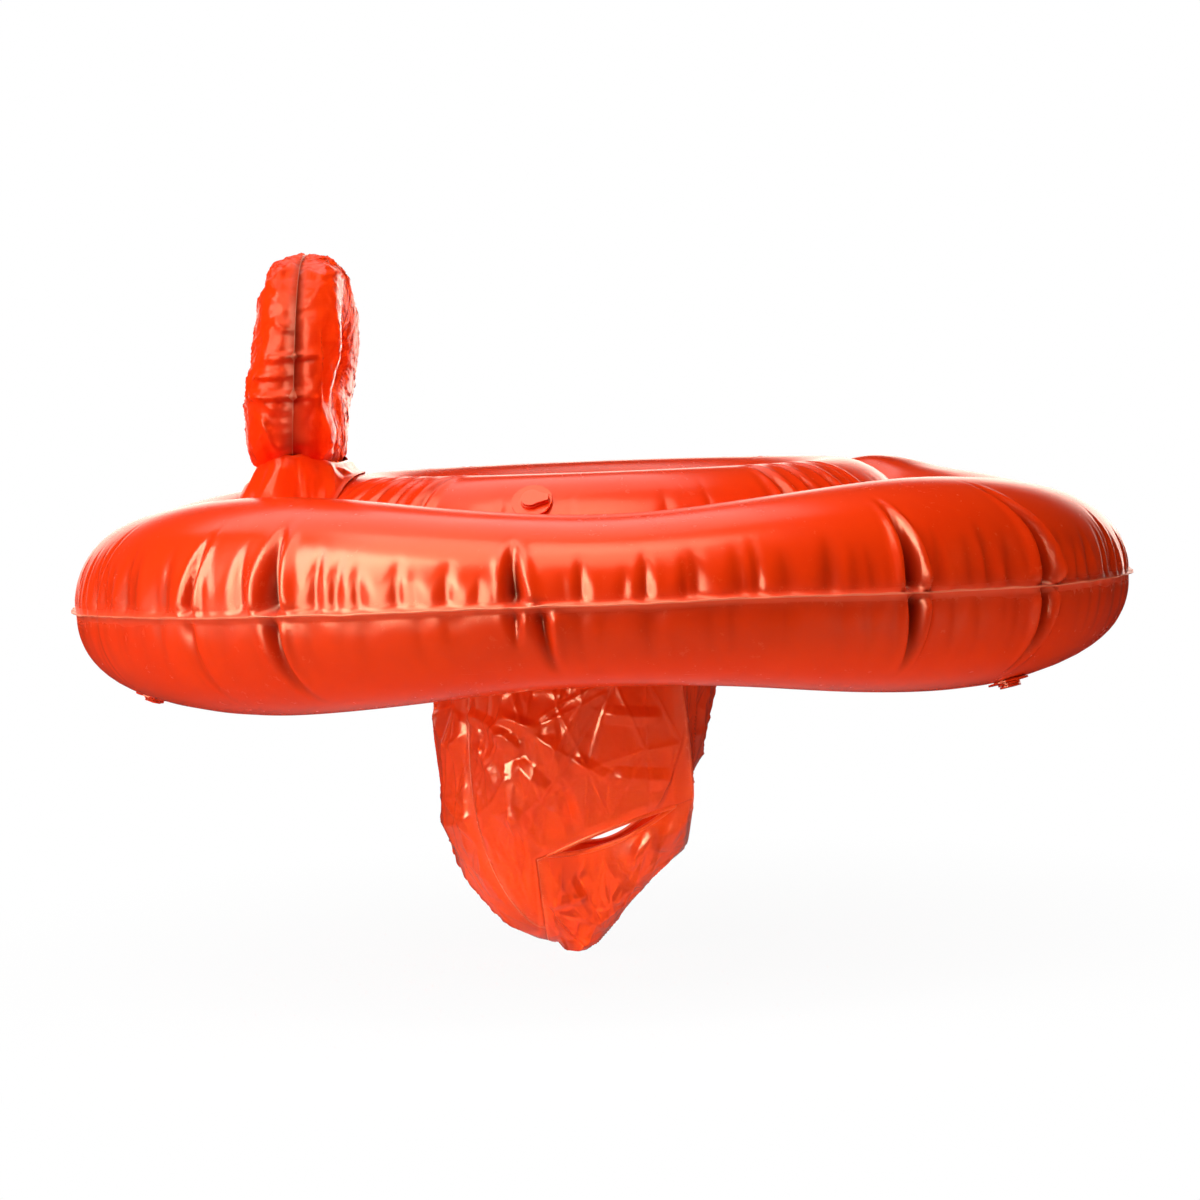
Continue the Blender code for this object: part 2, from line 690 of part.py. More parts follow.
def side_panel(name, side, material):
    """A side panel, down to the crotch panel's rear weld and the leg hole's outer edge."""
    rear = Vector((-PANEL_HALF_GAP, 0.0, PANEL_HALF_GAP))
    lows = []
    for step in range(REAR_STATIONS + 1):
        share = REAR_PANEL_SHARE + (1.0 - REAR_PANEL_SHARE) * step / REAR_STATIONS
        low = trough(CROTCH_REAR_X, share) + rear
        low.y = side * (low.y + PANEL_HALF_GAP)
        lows.append(low)
    half = LEG_HOLE_LENGTH / 2.0
    lows += [leg_edge(LEG_HOLE_X + half * station, side, True) for station in HOLE_STATIONS]
    lows.append(leg_edge(CROTCH_FRONT_X - PANEL_HALF_GAP, side, True))
    first = math.radians(REAR_SEAM_ANGLE) - seam_keep()
    last = math.radians(FRONT_SEAM_ANGLE) + seam_keep()
    angles = []
    for index in range(len(lows)):
        angles.append(side * (first + (last - first) * index / (len(lows) - 1)))
    return panel(name, angles, lows, SIDE_FOLD_PHASE, side > 0, material)


def end_panel(name, front, material):
    """The front or rear panel, down to its weld with the crotch panel."""
    seam = math.radians(FRONT_SEAM_ANGLE if front else REAR_SEAM_ANGLE)
    x = CROTCH_FRONT_X if front else CROTCH_REAR_X
    reach = 1.0 if front else REAR_PANEL_SHARE
    ahead = PANEL_HALF_GAP if front else -PANEL_HALF_GAP
    span = (seam if front else math.pi - seam) - seam_keep()
    angles, lows = [], []
    for index in range(PANEL_COLUMNS + 1):
        swing = 2.0 * index / PANEL_COLUMNS - 1.0
        angles.append(span * swing if front else math.pi - span * swing)
        low = trough(x, reach * swing) + Vector((ahead, 0.0, PANEL_HALF_GAP))
        low.y -= PANEL_HALF_GAP * swing
        lows.append(low)
    return panel(name, angles, lows, 0.0, not front, material)


def crotch_panel(name, material):
    """The panel between the legs, a deep trough from the rear panel to the front one."""
    half = LEG_HOLE_LENGTH / 2.0
    places = [CROTCH_REAR_X] + [LEG_HOLE_X + half * station for station in HOLE_STATIONS]
    places.append(CROTCH_FRONT_X)
    rows = []
    for x in places:
        swings = [2.0 * index / PANEL_COLUMNS - 1.0 for index in range(PANEL_COLUMNS + 1)]
        rows.append([trough(x, swing) for swing in swings])
    placed = add_object(name, surface(name, rows, False, False), material)
    thicken(placed, FILM, 0.0)
    return placed


def leg_hem(name, side, material):
    """The rolled hem round a leg hole, one closed bead."""
    curve = bpy.data.curves.new(name, "CURVE")
    curve.dimensions = "3D"
    line = curve.splines.new("POLY")
    line.points.add(HEM_POINTS - 1)
    half = LEG_HOLE_LENGTH / 2.0
    for index, point in enumerate(line.points):
        turned = 2.0 * math.pi * index / HEM_POINTS
        place = hole_edge(LEG_HOLE_X + half * math.cos(turned), math.sin(turned) > 0.0)
        point.co = (place.x, side * place.y, place.z, 1.0)
    line.use_cyclic_u = True
    curve.bevel_depth = HEM_RADIUS
    curve.bevel_resolution = 1
    placed = bpy.data.objects.new(name, curve)
    bpy.context.scene.collection.objects.link(placed)
    curve.materials.append(material)
    return placed


def turned_solid(name, profile, material):
    """A solid turned about Z from a closed profile of radius and height; radius 0 is its axis."""
    mesh = bpy.data.meshes.new(name)
    built = bmesh.new()
    rings = []
    for radius, height in profile:
        if radius < CLOSE:
            rings.append([built.verts.new((0.0, 0.0, height))] * VALVE_SEGMENTS)
            continue
        ring = []
        for index in range(VALVE_SEGMENTS):
            angle = 2.0 * math.pi * index / VALVE_SEGMENTS
            ring.append(built.verts.new((radius * math.cos(angle), radius * math.sin(angle), height)))
        rings.append(ring)
    pairs = list(zip(rings, rings[1:]))
    if profile[0][0] > CLOSE or profile[-1][0] > CLOSE:
        pairs.append((rings[-1], rings[0]))
    for ring, following in pairs:
        for index in range(VALVE_SEGMENTS):
            after = (index + 1) % VALVE_SEGMENTS
            corners = [ring[index], ring[after], following[after], following[index]]
            corners = list(dict.fromkeys(corners))
            if len(corners) > 2:
                built.faces.new(corners)
    bmesh.ops.recalc_face_normals(built, faces=built.faces)
    built.to_mesh(mesh)
    built.free()
    return add_object(name, mesh, material)


def pull_tab(placed, reach, radius, low, high):
    """Draw a disc's rim out into a square tab along +X, between two heights."""
    for vertex in placed.data.vertices:
        place = vertex.co
        angle = math.degrees(math.atan2(place.y, place.x))
        on_rim = math.hypot(place.x, place.y) > radius - CLOSE
        if abs(angle) < TAB_ANGLE and on_rim and low - CLOSE < place.z < high + CLOSE:
            place.x = reach
            place.y = math.copysign(TAB_HALF_WIDTH, place.y) if abs(place.y) > CLOSE else 0.0


def shift_origin(placed, origin):
    """Move an object's origin without moving its mesh."""
    placed.data.transform(Matrix.Translation(-origin))
    placed.location = origin


def frame_at(film, first, second, side, uphill):
    """A frame on a film: its Z stands off the film and its X points along the film."""
    small = 1e-4
    here = film(first, second, side)
    along = film(first + small, second, side) - film(first - small, second, side)
    over = film(first, second + small, side) - film(first, second - small, side)
    normal = along.cross(over).normalized()
    if normal.dot(uphill) < 0.0:
        normal = -normal
    tangent = along.normalized()
    third = normal.cross(tangent)
    turned = Matrix((tangent, third, normal)).transposed().to_4x4()
    return Matrix.Translation(here) @ turned


def cut_seat(sheet, frame, name):
    """A round hole in a sheet for a valve's seat."""
    mesh = bpy.data.meshes.new(name)
    built = bmesh.new()
    bmesh.ops.create_cone(
        built,
        cap_ends=True,
        segments=VALVE_SEGMENTS,
        radius1=SEAT_RADIUS + GAP,
        radius2=SEAT_RADIUS + GAP,
        depth=SEAT_CUT_DEPTH,
    )
    built.to_mesh(mesh)
    built.free()
    cutter = bpy.data.objects.new(name, mesh)
    bpy.context.scene.collection.objects.link(cutter)
    cutter.hide_render = True
    cutter.display_type = "WIRE"
    cutter.matrix_world = frame
    cut = sheet.modifiers.new("valve_hole", "BOOLEAN")
    cut.object = cutter
    cut.operation = "DIFFERENCE"
    cut.solver = "EXACT"


def place(placed, frame, origin):
    """Put a valve piece in its frame, with its own origin at a point of that frame."""
    shift_origin(placed, origin)
    placed.matrix_world = frame @ Matrix.Translation(origin)


def valve(prefix, sheet, frame, material, clear):
    """A push-in valve: seat, sliding stem, plug on its tab and the check flap inside."""
    cut_seat(sheet, frame, prefix + "_valve_cut")
    bore = STEM_RADIUS + GAP
    flange_low = SEAT_STANDOFF
    flange_high = flange_low + SEAT_FLANGE_THICKNESS
    seat_profile = (
        (bore, -SEAT_DEPTH),
        (SEAT_RADIUS, -SEAT_DEPTH),
        (SEAT_RADIUS, flange_low),
        (SEAT_FLANGE_RADIUS, flange_low),
        (SEAT_FLANGE_RADIUS, flange_high),
        (bore, flange_high),
    )
    seat = turned_solid(prefix + "_valve_seat", seat_profile, material)
    place(seat, frame, Vector())
    lip_low = flange_high + GAP
    lip_high = lip_low + STEM_LIP_THICKNESS
    stem_end = lip_high - STEM_LENGTH
    collar_high = stem_end + STEM_COLLAR_THICKNESS
    stem_profile = (
        (STEM_BORE_RADIUS, stem_end),
        (STEM_COLLAR_RADIUS, stem_end),
        (STEM_COLLAR_RADIUS, collar_high),
        (STEM_RADIUS, collar_high),
        (STEM_RADIUS, lip_low),
        (STEM_LIP_RADIUS, lip_low),
        (STEM_LIP_RADIUS, lip_high),
        (STEM_BORE_RADIUS, lip_high),
    )
    stem = turned_solid(prefix + "_valve_stem", stem_profile, material)
    pull_tab(stem, TAB_REACH, STEM_LIP_RADIUS, lip_low, lip_high)
    place(stem, frame, Vector())
    plug_low = lip_high + GAP
    plug_high = plug_low + PLUG_THICKNESS
    plug_profile = (
        (0.0, plug_high),
        (PLUG_RADIUS, plug_high),
        (PLUG_RADIUS, plug_low),
        (NUB_RADIUS, plug_low),
        (NUB_TIP_RADIUS, plug_low - NUB_LENGTH),
        (0.0, plug_low - NUB_LENGTH),
    )
    plug = turned_solid(prefix + "_valve_plug", plug_profile, material)
    pull_tab(plug, TAB_REACH, PLUG_RADIUS, plug_low, plug_high)
    plug_hinge = Vector((TAB_REACH, 0.0, plug_low - GAP / 2.0))
    place(plug, frame, plug_hinge)
    flap_high = stem_end - GAP
    flap_profile = (
        (0.0, flap_high),
        (FLAP_RADIUS, flap_high),
        (FLAP_RADIUS, flap_high - FLAP_THICKNESS),
        (0.0, flap_high - FLAP_THICKNESS),
    )
    flap = turned_solid(prefix + "_valve_flap", flap_profile, clear)
    flap_hinge = Vector((-FLAP_RADIUS, 0.0, flap_high))
    place(flap, frame, flap_hinge)
    travel = -SEAT_DEPTH - collar_high - GAP
    report(prefix + " stem slide", frame.translation, frame.col[2].to_3d(), travel)
    report(prefix + " plug hinge", frame @ plug_hinge, frame.col[1].to_3d(), 0.0)
    report(prefix + " flap hinge", frame @ flap_hinge, frame.col[1].to_3d(), 0.0)


def report(label, place_of, axis, travel):
    """Print a joint's place and axis, for whoever assembles the parts."""
    numbers = [round(value, 6) for value in (*place_of, *axis, travel)]
    print(label, numbers)


def main():
    for old in list(bpy.data.objects):
        bpy.data.objects.remove(old)
    orange = paint("orange_vinyl", (0.90, 0.105, 0.022), 0.22)
    deep = paint("deep_orange_vinyl", (0.72, 0.060, 0.010), 0.24)
    weld = paint("welded_orange_vinyl", (0.80, 0.090, 0.020), 0.35)
    moulded = paint("moulded_red_vinyl", (0.70, 0.030, 0.008), 0.30)
    clear = paint("clear_film", (0.85, 0.60, 0.52), 0.20)

    outer_top = outer_sheet("outer_ring_top", 1.0, orange)
    outer_belly = outer_sheet("outer_ring_belly", -1.0, deep)
    inner_top = inner_sheet("inner_ring_top", 1.0, orange)
    inner_belly = inner_sheet("inner_ring_belly", -1.0, deep)
    baffle("outer_baffle_left", math.radians(BAFFLE_ANGLE), clear)
    baffle("outer_baffle_right", math.radians(-BAFFLE_ANGLE), clear)

    front = backrest_sheet("backrest_front", 1.0, orange)
    rear = backrest_sheet("backrest_rear", -1.0, deep)
    fold = Vector((FOLD_X, 0.0, FOLD_HEIGHT))
    for sheet in (front, rear):
        shift_origin(sheet, fold)
    neck("backrest_neck", weld)
    rings = tree_of((outer_top, inner_top))
    anchor("backrest_anchor", rings, weld)
    skirt("backrest_skirt", rings, orange)

    band("sling_waist_band", weld)
    end_panel("sling_front_panel", True, orange)
    end_panel("sling_rear_panel", False, orange)
    side_panel("sling_left_panel", 1.0, orange)
    side_panel("sling_right_panel", -1.0, orange)
    crotch_panel("sling_crotch_panel", deep)
    leg_hem("leg_hem_left", 1.0, weld)
    leg_hem("leg_hem_right", -1.0, weld)

    down, up, back = Vector((0, 0, -1)), Vector((0, 0, 1)), Vector((-1, 0, 0))
    places = (
        ("outer_rear", outer_belly, outer_film, OUTER_REAR_VALVE, -1.0, down),
        ("outer_front", outer_belly, outer_film, OUTER_FRONT_VALVE, -1.0, down),
        ("inner", inner_top, inner_film, INNER_VALVE, 1.0, up),
        ("backrest", rear, backrest_film, BACKREST_VALVE, -1.0, back),
    )
    for prefix, sheet, film, where, side, uphill in places:
        frame = frame_at(film, math.radians(where[0]), where[1], side, uphill)
        valve(prefix, sheet, frame, moulded, clear)


main()
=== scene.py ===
# %% [markdown]
# # An inflatable swim seat
# The seat is made of glossy vinyl film that is welded flat and then blown up: an outer float
# ring, an inner ring round the body hole, a backrest pillow, and a sling with two leg holes.
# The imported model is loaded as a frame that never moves, and each film form is laid over it.

import json
import math
import random

import bpy
import numpy as np
from mathutils import Matrix, Vector
from mathutils.geometry import delaunay_2d_cdt


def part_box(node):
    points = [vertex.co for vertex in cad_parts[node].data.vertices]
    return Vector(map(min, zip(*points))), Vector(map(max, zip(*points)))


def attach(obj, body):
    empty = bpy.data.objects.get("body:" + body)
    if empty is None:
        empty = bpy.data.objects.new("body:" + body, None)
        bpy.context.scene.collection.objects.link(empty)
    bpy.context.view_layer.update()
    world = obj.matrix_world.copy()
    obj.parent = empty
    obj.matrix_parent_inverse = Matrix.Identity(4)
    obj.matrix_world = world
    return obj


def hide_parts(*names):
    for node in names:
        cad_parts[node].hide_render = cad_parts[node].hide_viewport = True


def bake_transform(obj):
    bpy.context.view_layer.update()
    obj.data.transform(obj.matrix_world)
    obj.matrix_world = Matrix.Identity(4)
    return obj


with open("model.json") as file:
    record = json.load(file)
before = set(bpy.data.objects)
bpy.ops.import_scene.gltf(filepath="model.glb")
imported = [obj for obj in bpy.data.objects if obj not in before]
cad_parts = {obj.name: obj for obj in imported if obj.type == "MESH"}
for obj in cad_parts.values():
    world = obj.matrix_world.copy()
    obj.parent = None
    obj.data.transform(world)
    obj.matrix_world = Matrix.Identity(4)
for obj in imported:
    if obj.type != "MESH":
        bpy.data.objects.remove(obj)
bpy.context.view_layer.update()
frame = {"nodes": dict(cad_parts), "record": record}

# %% [markdown]
# The photograph was taken with a long lens from the seat's right side, a little above its
# ring. The camera looks along +Y, tips down a little and leans over by two degrees.

# %% Set up the camera
CAMERA_DISTANCE = 2.0
CAMERA_HEIGHT = 0.126
CAMERA_SIDE = -0.0016
CAMERA_TIP = 3.76
CAMERA_LEAN = -2.18
CAMERA_LENS = 95.46

eye = bpy.data.cameras.new("eye")
eye.lens = CAMERA_LENS
eye.sensor_width = 36.0
camera = bpy.data.objects.new("eye", eye)
bpy.context.scene.collection.objects.link(camera)
tip = Matrix.Rotation(math.radians(90.0 - CAMERA_TIP), 4, "X")
lean = Matrix.Rotation(math.radians(CAMERA_LEAN), 4, "Z")
spot = Matrix.Translation((CAMERA_SIDE, -CAMERA_DISTANCE, CAMERA_HEIGHT))
camera.matrix_world = spot @ tip @ lean
bpy.context.scene.camera = camera
bpy.context.scene.view_settings.view_transform = "Standard"
print("camera", [round(v, 3) for v in camera.matrix_world.translation])

# %% [markdown]
# A film form starts as a flat grid, like film on the cutting table. Its two directions are read
# as shares from 0 to 1, and each point then goes to the place that air and welds pull it to.
# A loop or a revolve could give the plain tube, but not the pinches that cross the welds.

# %% Lay and shape film


def alone(piece):
    """Select one object and make it the active one."""
    bpy.ops.object.select_all(action="DESELECT")
    piece.select_set(True)
    bpy.context.view_layer.objects.active = piece


def read_points(piece):
    """The mesh's points as rows of x, y and z."""
    points = np.empty(len(piece.data.vertices) * 3, np.float32)
    piece.data.vertices.foreach_get("co", points)
    return points.reshape(-1, 3).astype(float)


def write_points(piece, points):
    """Put the mesh's points at new places."""
    piece.data.vertices.foreach_set("co", np.asarray(points, np.float32).ravel())
    piece.data.update()


def lay_film(name, columns, rows):
    """A flat grid of film and, for each point, its column and row as whole numbers."""
    bpy.ops.object.select_all(action="DESELECT")
    bpy.ops.mesh.primitive_grid_add(x_subdivisions=columns, y_subdivisions=rows, size=1.0)
    film = bpy.context.object
    film.name = name
    film.data.name = name
    flat = read_points(film)
    column = np.rint((flat[:, 0] + 0.5) * columns).astype(int)
    row = np.rint((flat[:, 1] + 0.5) * rows).astype(int)
    return film, column, row


def close_film(film, inside_out):
    """Join the edges that meet, point the faces outwards and shade them smooth."""
    alone(film)
    bpy.ops.object.mode_set(mode="EDIT")
    bpy.ops.mesh.select_all(action="SELECT")
    bpy.ops.mesh.remove_doubles(threshold=0.00001)
    if inside_out:
        bpy.ops.mesh.flip_normals()
    bpy.ops.object.mode_set(mode="OBJECT")
    bpy.ops.object.shade_smooth()


def facing(film):
    """How far a closed mesh's faces point outwards: its volume, below 0 when inside out."""
    film.data.calc_loop_triangles()
    corners = np.empty(len(film.data.loop_triangles) * 3, np.int32)
    film.data.loop_triangles.foreach_get("vertices", corners)
    a, b, c = (read_points(film)[corners[start::3]] for start in range(3))
    return float(np.einsum("ij,ij->i", a, np.cross(b, c)).sum() / 6.0)


def smooth(value):
    """An eased step from 0 to 1."""
    value = np.clip(value, 0.0, 1.0)
    return value * value * (3.0 - 2.0 * value)


def mark(film, name, values):
    """Store one number for each point, which a material can read."""
    layer = film.data.attributes.new(name, "FLOAT", "POINT")
    layer.data.foreach_set("value", np.asarray(values, np.float32))


# %% [markdown]
# The sizes of the two rings come from the frame: their length, width and heights are those of
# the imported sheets. The ring is fullest at its corners and leanest at its sides, so a size is
# blended round it with two cosines.

# %% Measure the rings
WELD_STRIP = 0.003
MIDDLE_STRIP = 0.006
FILM = 0.0006
ring_low, ring_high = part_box("outer_ring_top")
hole_low, hole_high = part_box("sling_waist_band")
RING_HALF = ((ring_high.x - ring_low.x) / 2.0, (ring_high.y - ring_low.y) / 2.0)
HOLE_HALF = (hole_high.x + WELD_STRIP + 0.0003, hole_high.y + WELD_STRIP + 0.0003)
HOLE_HEIGHT = (hole_low.z + hole_high.z) / 2.0
MIDDLE_HALF = (0.203, 0.205)
MIDDLE_HEIGHT = 0.015
INNER_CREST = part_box("inner_ring_top")[1].z + 0.0004
INNER_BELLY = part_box("inner_ring_belly")[0].z - 0.0005
RING_SQUARENESS = 2.1
print("ring", [round(v, 4) for v in RING_HALF], "hole", [round(v, 4) for v in HOLE_HALF])


def rounded(angle, half_length, half_width, squareness):
    """Distance from the middle to a rounded outline, in the direction of the angle."""
    across = np.abs(np.cos(angle)) / half_length
    along = np.abs(np.sin(angle)) / half_width
    return (across**squareness + along**squareness) ** (-1.0 / squareness)


def between(ends, corners, sides, angle):
    """A size that differs at the ends, corners and sides of the ring."""
    mean = (ends + sides + 2.0 * corners) / 4.0
    double = (ends - sides) / 2.0
    fourfold = (ends + sides - 2.0 * corners) / 4.0
    return mean + double * np.cos(2.0 * angle) + fourfold * np.cos(4.0 * angle)


def two_point(ends, sides, angle):
    """A size that differs at the ends and sides of the ring."""
    return between(ends, (ends + sides) / 2.0, sides, angle)


def bowed(turn, first, last, crest, fullness):
    """Radius and height of a film that bows from one weld over its crest to the next."""
    foot = np.where(turn < 0.5, first[0], last[0])
    rest = np.where(turn < 0.5, first[1], last[1])
    power = 2.0 / fullness
    radius = crest[0] + (foot - crest[0]) * np.abs(np.cos(np.pi * turn)) ** power
    height = rest + (crest[1] - rest) * np.abs(np.sin(np.pi * turn)) ** power
    return radius, height


def outer_weld_radius(angle):
    return rounded(angle, RING_HALF[0] - WELD_STRIP, RING_HALF[1] - WELD_STRIP, RING_SQUARENESS)


def middle_weld_radius(angle):
    return rounded(angle, *MIDDLE_HALF, 2.0)


def hole_weld_radius(angle):
    return rounded(angle, *HOLE_HALF, 2.0)


# %% [markdown]
# Flat film that is blown into a ring has too much length at its outer weld, so it gathers there
# in pinches: sharp valleys that cross the weld and die out over the crest, with rounded lobes
# between. A few run deep, where the film folded; the rest are short and close together. Each
# pinch is a valley with a soft shoulder on either side.

# %% Pinch the film


class Pinch:
    """One valley across a weld. Angle in degrees; depth, width and drift in metres."""

    def __init__(self, angle, depth, reach, width, ridge=0.35, drift=0.0, bend=0.0):
        self.angle = math.radians(angle)
        self.depth = depth
        self.reach = reach
        self.width = width
        self.ridge = ridge
        self.drift = drift
        self.bend = bend


def pinched(angle, turn, radius, pinches, start):
    """How far the film is drawn in by all the pinches, and how much painted shade lies in its deep folds."""
    depth = np.zeros_like(turn)
    fold_shade = np.zeros_like(turn)
    for pinch in pinches:
        share = turn / pinch.reach
        away = np.remainder(angle - pinch.angle + np.pi, 2.0 * np.pi) - np.pi
        away = away * radius - pinch.drift * share - pinch.bend * share * share
        width = pinch.width * np.maximum(1.15 - 0.6 * share, 0.3)
        near = (np.abs(away) < 7.0 * width) & (share < 1.0)
        if not near.any():
            continue
        aside, wide, part = away[near], width[near], share[near]
        valley = np.exp(-(np.sqrt(aside**2 + (0.3 * wide) ** 2) - 0.3 * wide) / wide)
        shoulder = np.exp(-(((aside - 2.1 * wide) / (1.3 * wide)) ** 2))
        other = np.exp(-(((aside + 2.1 * wide) / (1.3 * wide)) ** 2))
        fade = (1.0 - smooth(part)) * smooth(turn[near] / start + 0.25)
        depth[near] += pinch.depth * fade * (valley - pinch.ridge * shoulder - 0.6 * pinch.ridge * other)
        # Painted shade: where a pinch runs deep, the film's colour is darkened along its valley.
        crease_shade = min(1.0, pinch.depth / 0.010) * np.sqrt(fade) * np.exp(-((aside / (1.35 * wide)) ** 2))
        fold_shade[near] = np.maximum(fold_shade[near], crease_shade)
    return depth, fold_shade


def gathers(seed, count, depth, reach, width):
    """Small pinches all round a weld, unevenly spaced and of unlike size."""
    draw = random.Random(seed)
    found = []
    for index in range(count):
        angle = 360.0 * (index + draw.uniform(-0.42, 0.42)) / count - 180.0
        size = draw.uniform(0.35, 1.0)
        found.append(Pinch(angle, depth * size, reach * (0.35 + 0.65 * size), width * draw.uniform(0.7, 1.3),
                           draw.uniform(0.2, 0.5), draw.uniform(-0.003, 0.003)))
    return found


DEEP_ABOVE = [
    Pinch(-157.0, 0.0022, 0.33, 0.0030, 0.5, 0.010, 0.004),
    Pinch(-137.4, 0.0070, 0.27, 0.0032, 0.7, 0.007),
    Pinch(-126.2, 0.0115, 0.30, 0.0046, 0.6, -0.002),
    Pinch(-99.3, 0.0095, 0.27, 0.0038, 0.6, -0.002),
    Pinch(-56.6, 0.0150, 0.33, 0.0028, 0.8, -0.001),
    Pinch(-37.9, 0.0150, 0.38, 0.0030, 0.8, -0.005, -0.010),
    Pinch(-21.0, 0.0035, 0.25, 0.0034),
    Pinch(-5.0, 0.0040, 0.26, 0.0034),
    Pinch(14.0, 0.0048, 0.28, 0.0036),
    Pinch(35.0, 0.0060, 0.40, 0.0040),
    Pinch(61.0, 0.0055, 0.34, 0.0036),
    Pinch(84.0, 0.0036, 0.25, 0.0034),
    Pinch(103.0, 0.0050, 0.32, 0.0036),
    Pinch(131.0, 0.0058, 0.32, 0.0036),
    Pinch(158.0, 0.0042, 0.28, 0.0034),
    Pinch(178.0, 0.0038, 0.26, 0.0034),
]
DEEP_BELOW = [
    Pinch(-157.0, 0.0016, 0.30, 0.0030, 0.4, 0.006),
    Pinch(-137.4, 0.0030, 0.30, 0.0032, 0.4, 0.006, 0.006),
    Pinch(-126.2, 0.0075, 0.32, 0.0036, 0.5, 0.004, 0.012),
    Pinch(-99.3, 0.0040, 0.14, 0.0028, 0.5),
    Pinch(-96.6, 0.0070, 0.28, 0.0032, 0.6, 0.003, 0.005),
    Pinch(-56.4, 0.0100, 0.27, 0.0026, 0.7, 0.002),
    Pinch(-38.2, 0.0120, 0.30, 0.0028, 0.7, -0.003, -0.004),
    Pinch(-14.0, 0.0036, 0.28, 0.0034),
    Pinch(10.0, 0.0040, 0.28, 0.0034),
    Pinch(35.0, 0.0055, 0.36, 0.0040),
    Pinch(61.0, 0.0050, 0.32, 0.0036),
    Pinch(103.0, 0.0046, 0.30, 0.0036),
    Pinch(131.0, 0.0050, 0.30, 0.0036),
    Pinch(165.0, 0.0040, 0.28, 0.0034),
]
SMALL_ABOVE = gathers(3, 118, 0.0040, 0.22, 0.0036)
SMALL_BELOW = gathers(5, 104, 0.0013, 0.24, 0.0042)
MIDDLE_GATHERS = gathers(9, 64, 0.0032, 0.24, 0.0040)
print(len(DEEP_ABOVE) + len(DEEP_BELOW), "deep pinches,", len(SMALL_ABOVE) + len(SMALL_BELOW), "small ones")

# %% [markdown]
# The outer ring is one closed skin: up over the top film, down round the belly, with the welded
# strip standing out as a thin fin. Its section is a list of stations, each with the side of the
# weld that it is on, its turn from weld to weld, and how far out on the strip it lies.

# %% Blow up the outer ring
TOP_SWELL = (0.0575, 0.0635, 0.0465)
BELLY_SWELL = (0.0530, 0.0605, 0.0488)
TOP_LEAN = 0.0016
CREST_INSET = (0.0785, 0.0575)
WELD_HEIGHT = (0.003, 0.0115)
RING_FULLNESS = 2.35
FRONT_FULLNESS = 2.2
TURN_ROWS = 36
RING_COLUMNS = 1120


def eased_turns(count):
    """Turns from 0 to 1, closer together near both welds."""
    share = np.linspace(0.0, 1.0, count + 1)
    return share - 0.55 * np.sin(2.0 * np.pi * share) / (2.0 * np.pi)


def section(turns, tip, root):
    """A tube's closed section: rows of side, turn, reach past the first weld and past the last."""
    rows = [(-1.0, 0.0, tip, 0.0), (-1.0, 0.0, tip / 2.0, 0.0)]
    rows += [(-1.0, turn, 0.0, 0.0) for turn in turns]
    rows += [(-1.0, 1.0, 0.0, root), (1.0, 1.0, 0.0, root)]
    rows += [(1.0, turn, 0.0, 0.0) for turn in turns[::-1]]
    rows += [(1.0, 0.0, tip / 2.0, 0.0), (1.0, 0.0, tip, 0.0), (-1.0, 0.0, tip, 0.0)]
    return np.array(rows)


def ring_angles(column, columns):
    return 2.0 * np.pi * (column / columns) - np.pi


def far_corner(angle):
    """The left front corner stands a little proud, with a lower stretch behind it."""
    degrees = np.degrees(angle)
    proud = 0.0062 * np.exp(-(((degrees - 41.0) / 7.0) ** 2))
    lower = 0.0032 * np.exp(-(((degrees - 62.0) / 10.0) ** 2))
    return proud - lower


def outer_film(angle, turn, side):
    """Radius and height of the outer ring's smooth film."""
    lift = side * FILM
    weld = two_point(*WELD_HEIGHT, angle)
    top = between(*TOP_SWELL, angle) - TOP_LEAN * np.cos(angle) + far_corner(angle)
    swell = np.where(side > 0.0, top, between(*BELLY_SWELL, angle))
    first = (outer_weld_radius(angle), weld + lift)
    last = (middle_weld_radius(angle) + MIDDLE_STRIP / 2.0, MIDDLE_HEIGHT + lift)
    crest = (first[0] - two_point(*CREST_INSET, angle), weld + side * swell)
    leaner = np.where(side > 0.0, np.maximum(0.0, np.cos(angle)), 0.0)
    fullness = np.where(turn > 0.5, 2.0, RING_FULLNESS + (FRONT_FULLNESS - RING_FULLNESS) * leaner)
    return bowed(turn, first, last, crest, fullness)


def wander(angle, seed, waves):
    """A gentle unevenness round the ring, between -1 and 1."""
    draw = random.Random(seed)
    total = np.zeros_like(angle)
    for wave in waves:
        total += np.sin(wave * angle + draw.uniform(0.0, 2.0 * math.pi))
    return total / len(waves)


WELD_FADE = 0.03
PINCH_START = 0.03
FIN_RISE = 0.16
FIN_WAVE = 0.22


def finish_ring(film, stations, angle, place, outside, inside, first_fade, fold_shade):
    """Draw the film in at both its welds, and close it as one skin."""
    side, turn, reach, past = stations
    radius, height = place
    strip = (reach > 0.0) | (past != 0.0)
    radius = radius + reach + past - outside * np.cos(np.pi * turn) + inside * np.cos(np.pi * (1.0 - turn))
    height = height - side * (outside + inside) * np.sin(np.pi * turn)
    height = height - np.where(strip, side * FILM * 0.45, 0.0)
    write_points(film, np.stack([radius * np.cos(angle), radius * np.sin(angle), height], axis=1))
    mark(film, "weld", np.maximum(np.exp(-turn / first_fade), np.exp(-(1.0 - turn) / WELD_FADE)))
    mark(film, "strip", strip)
    # This mark is painted shade, which the vinyl uses to darken the deep folds.
    mark(film, "fold_shade", fold_shade)
    close_film(film, True)
    return film


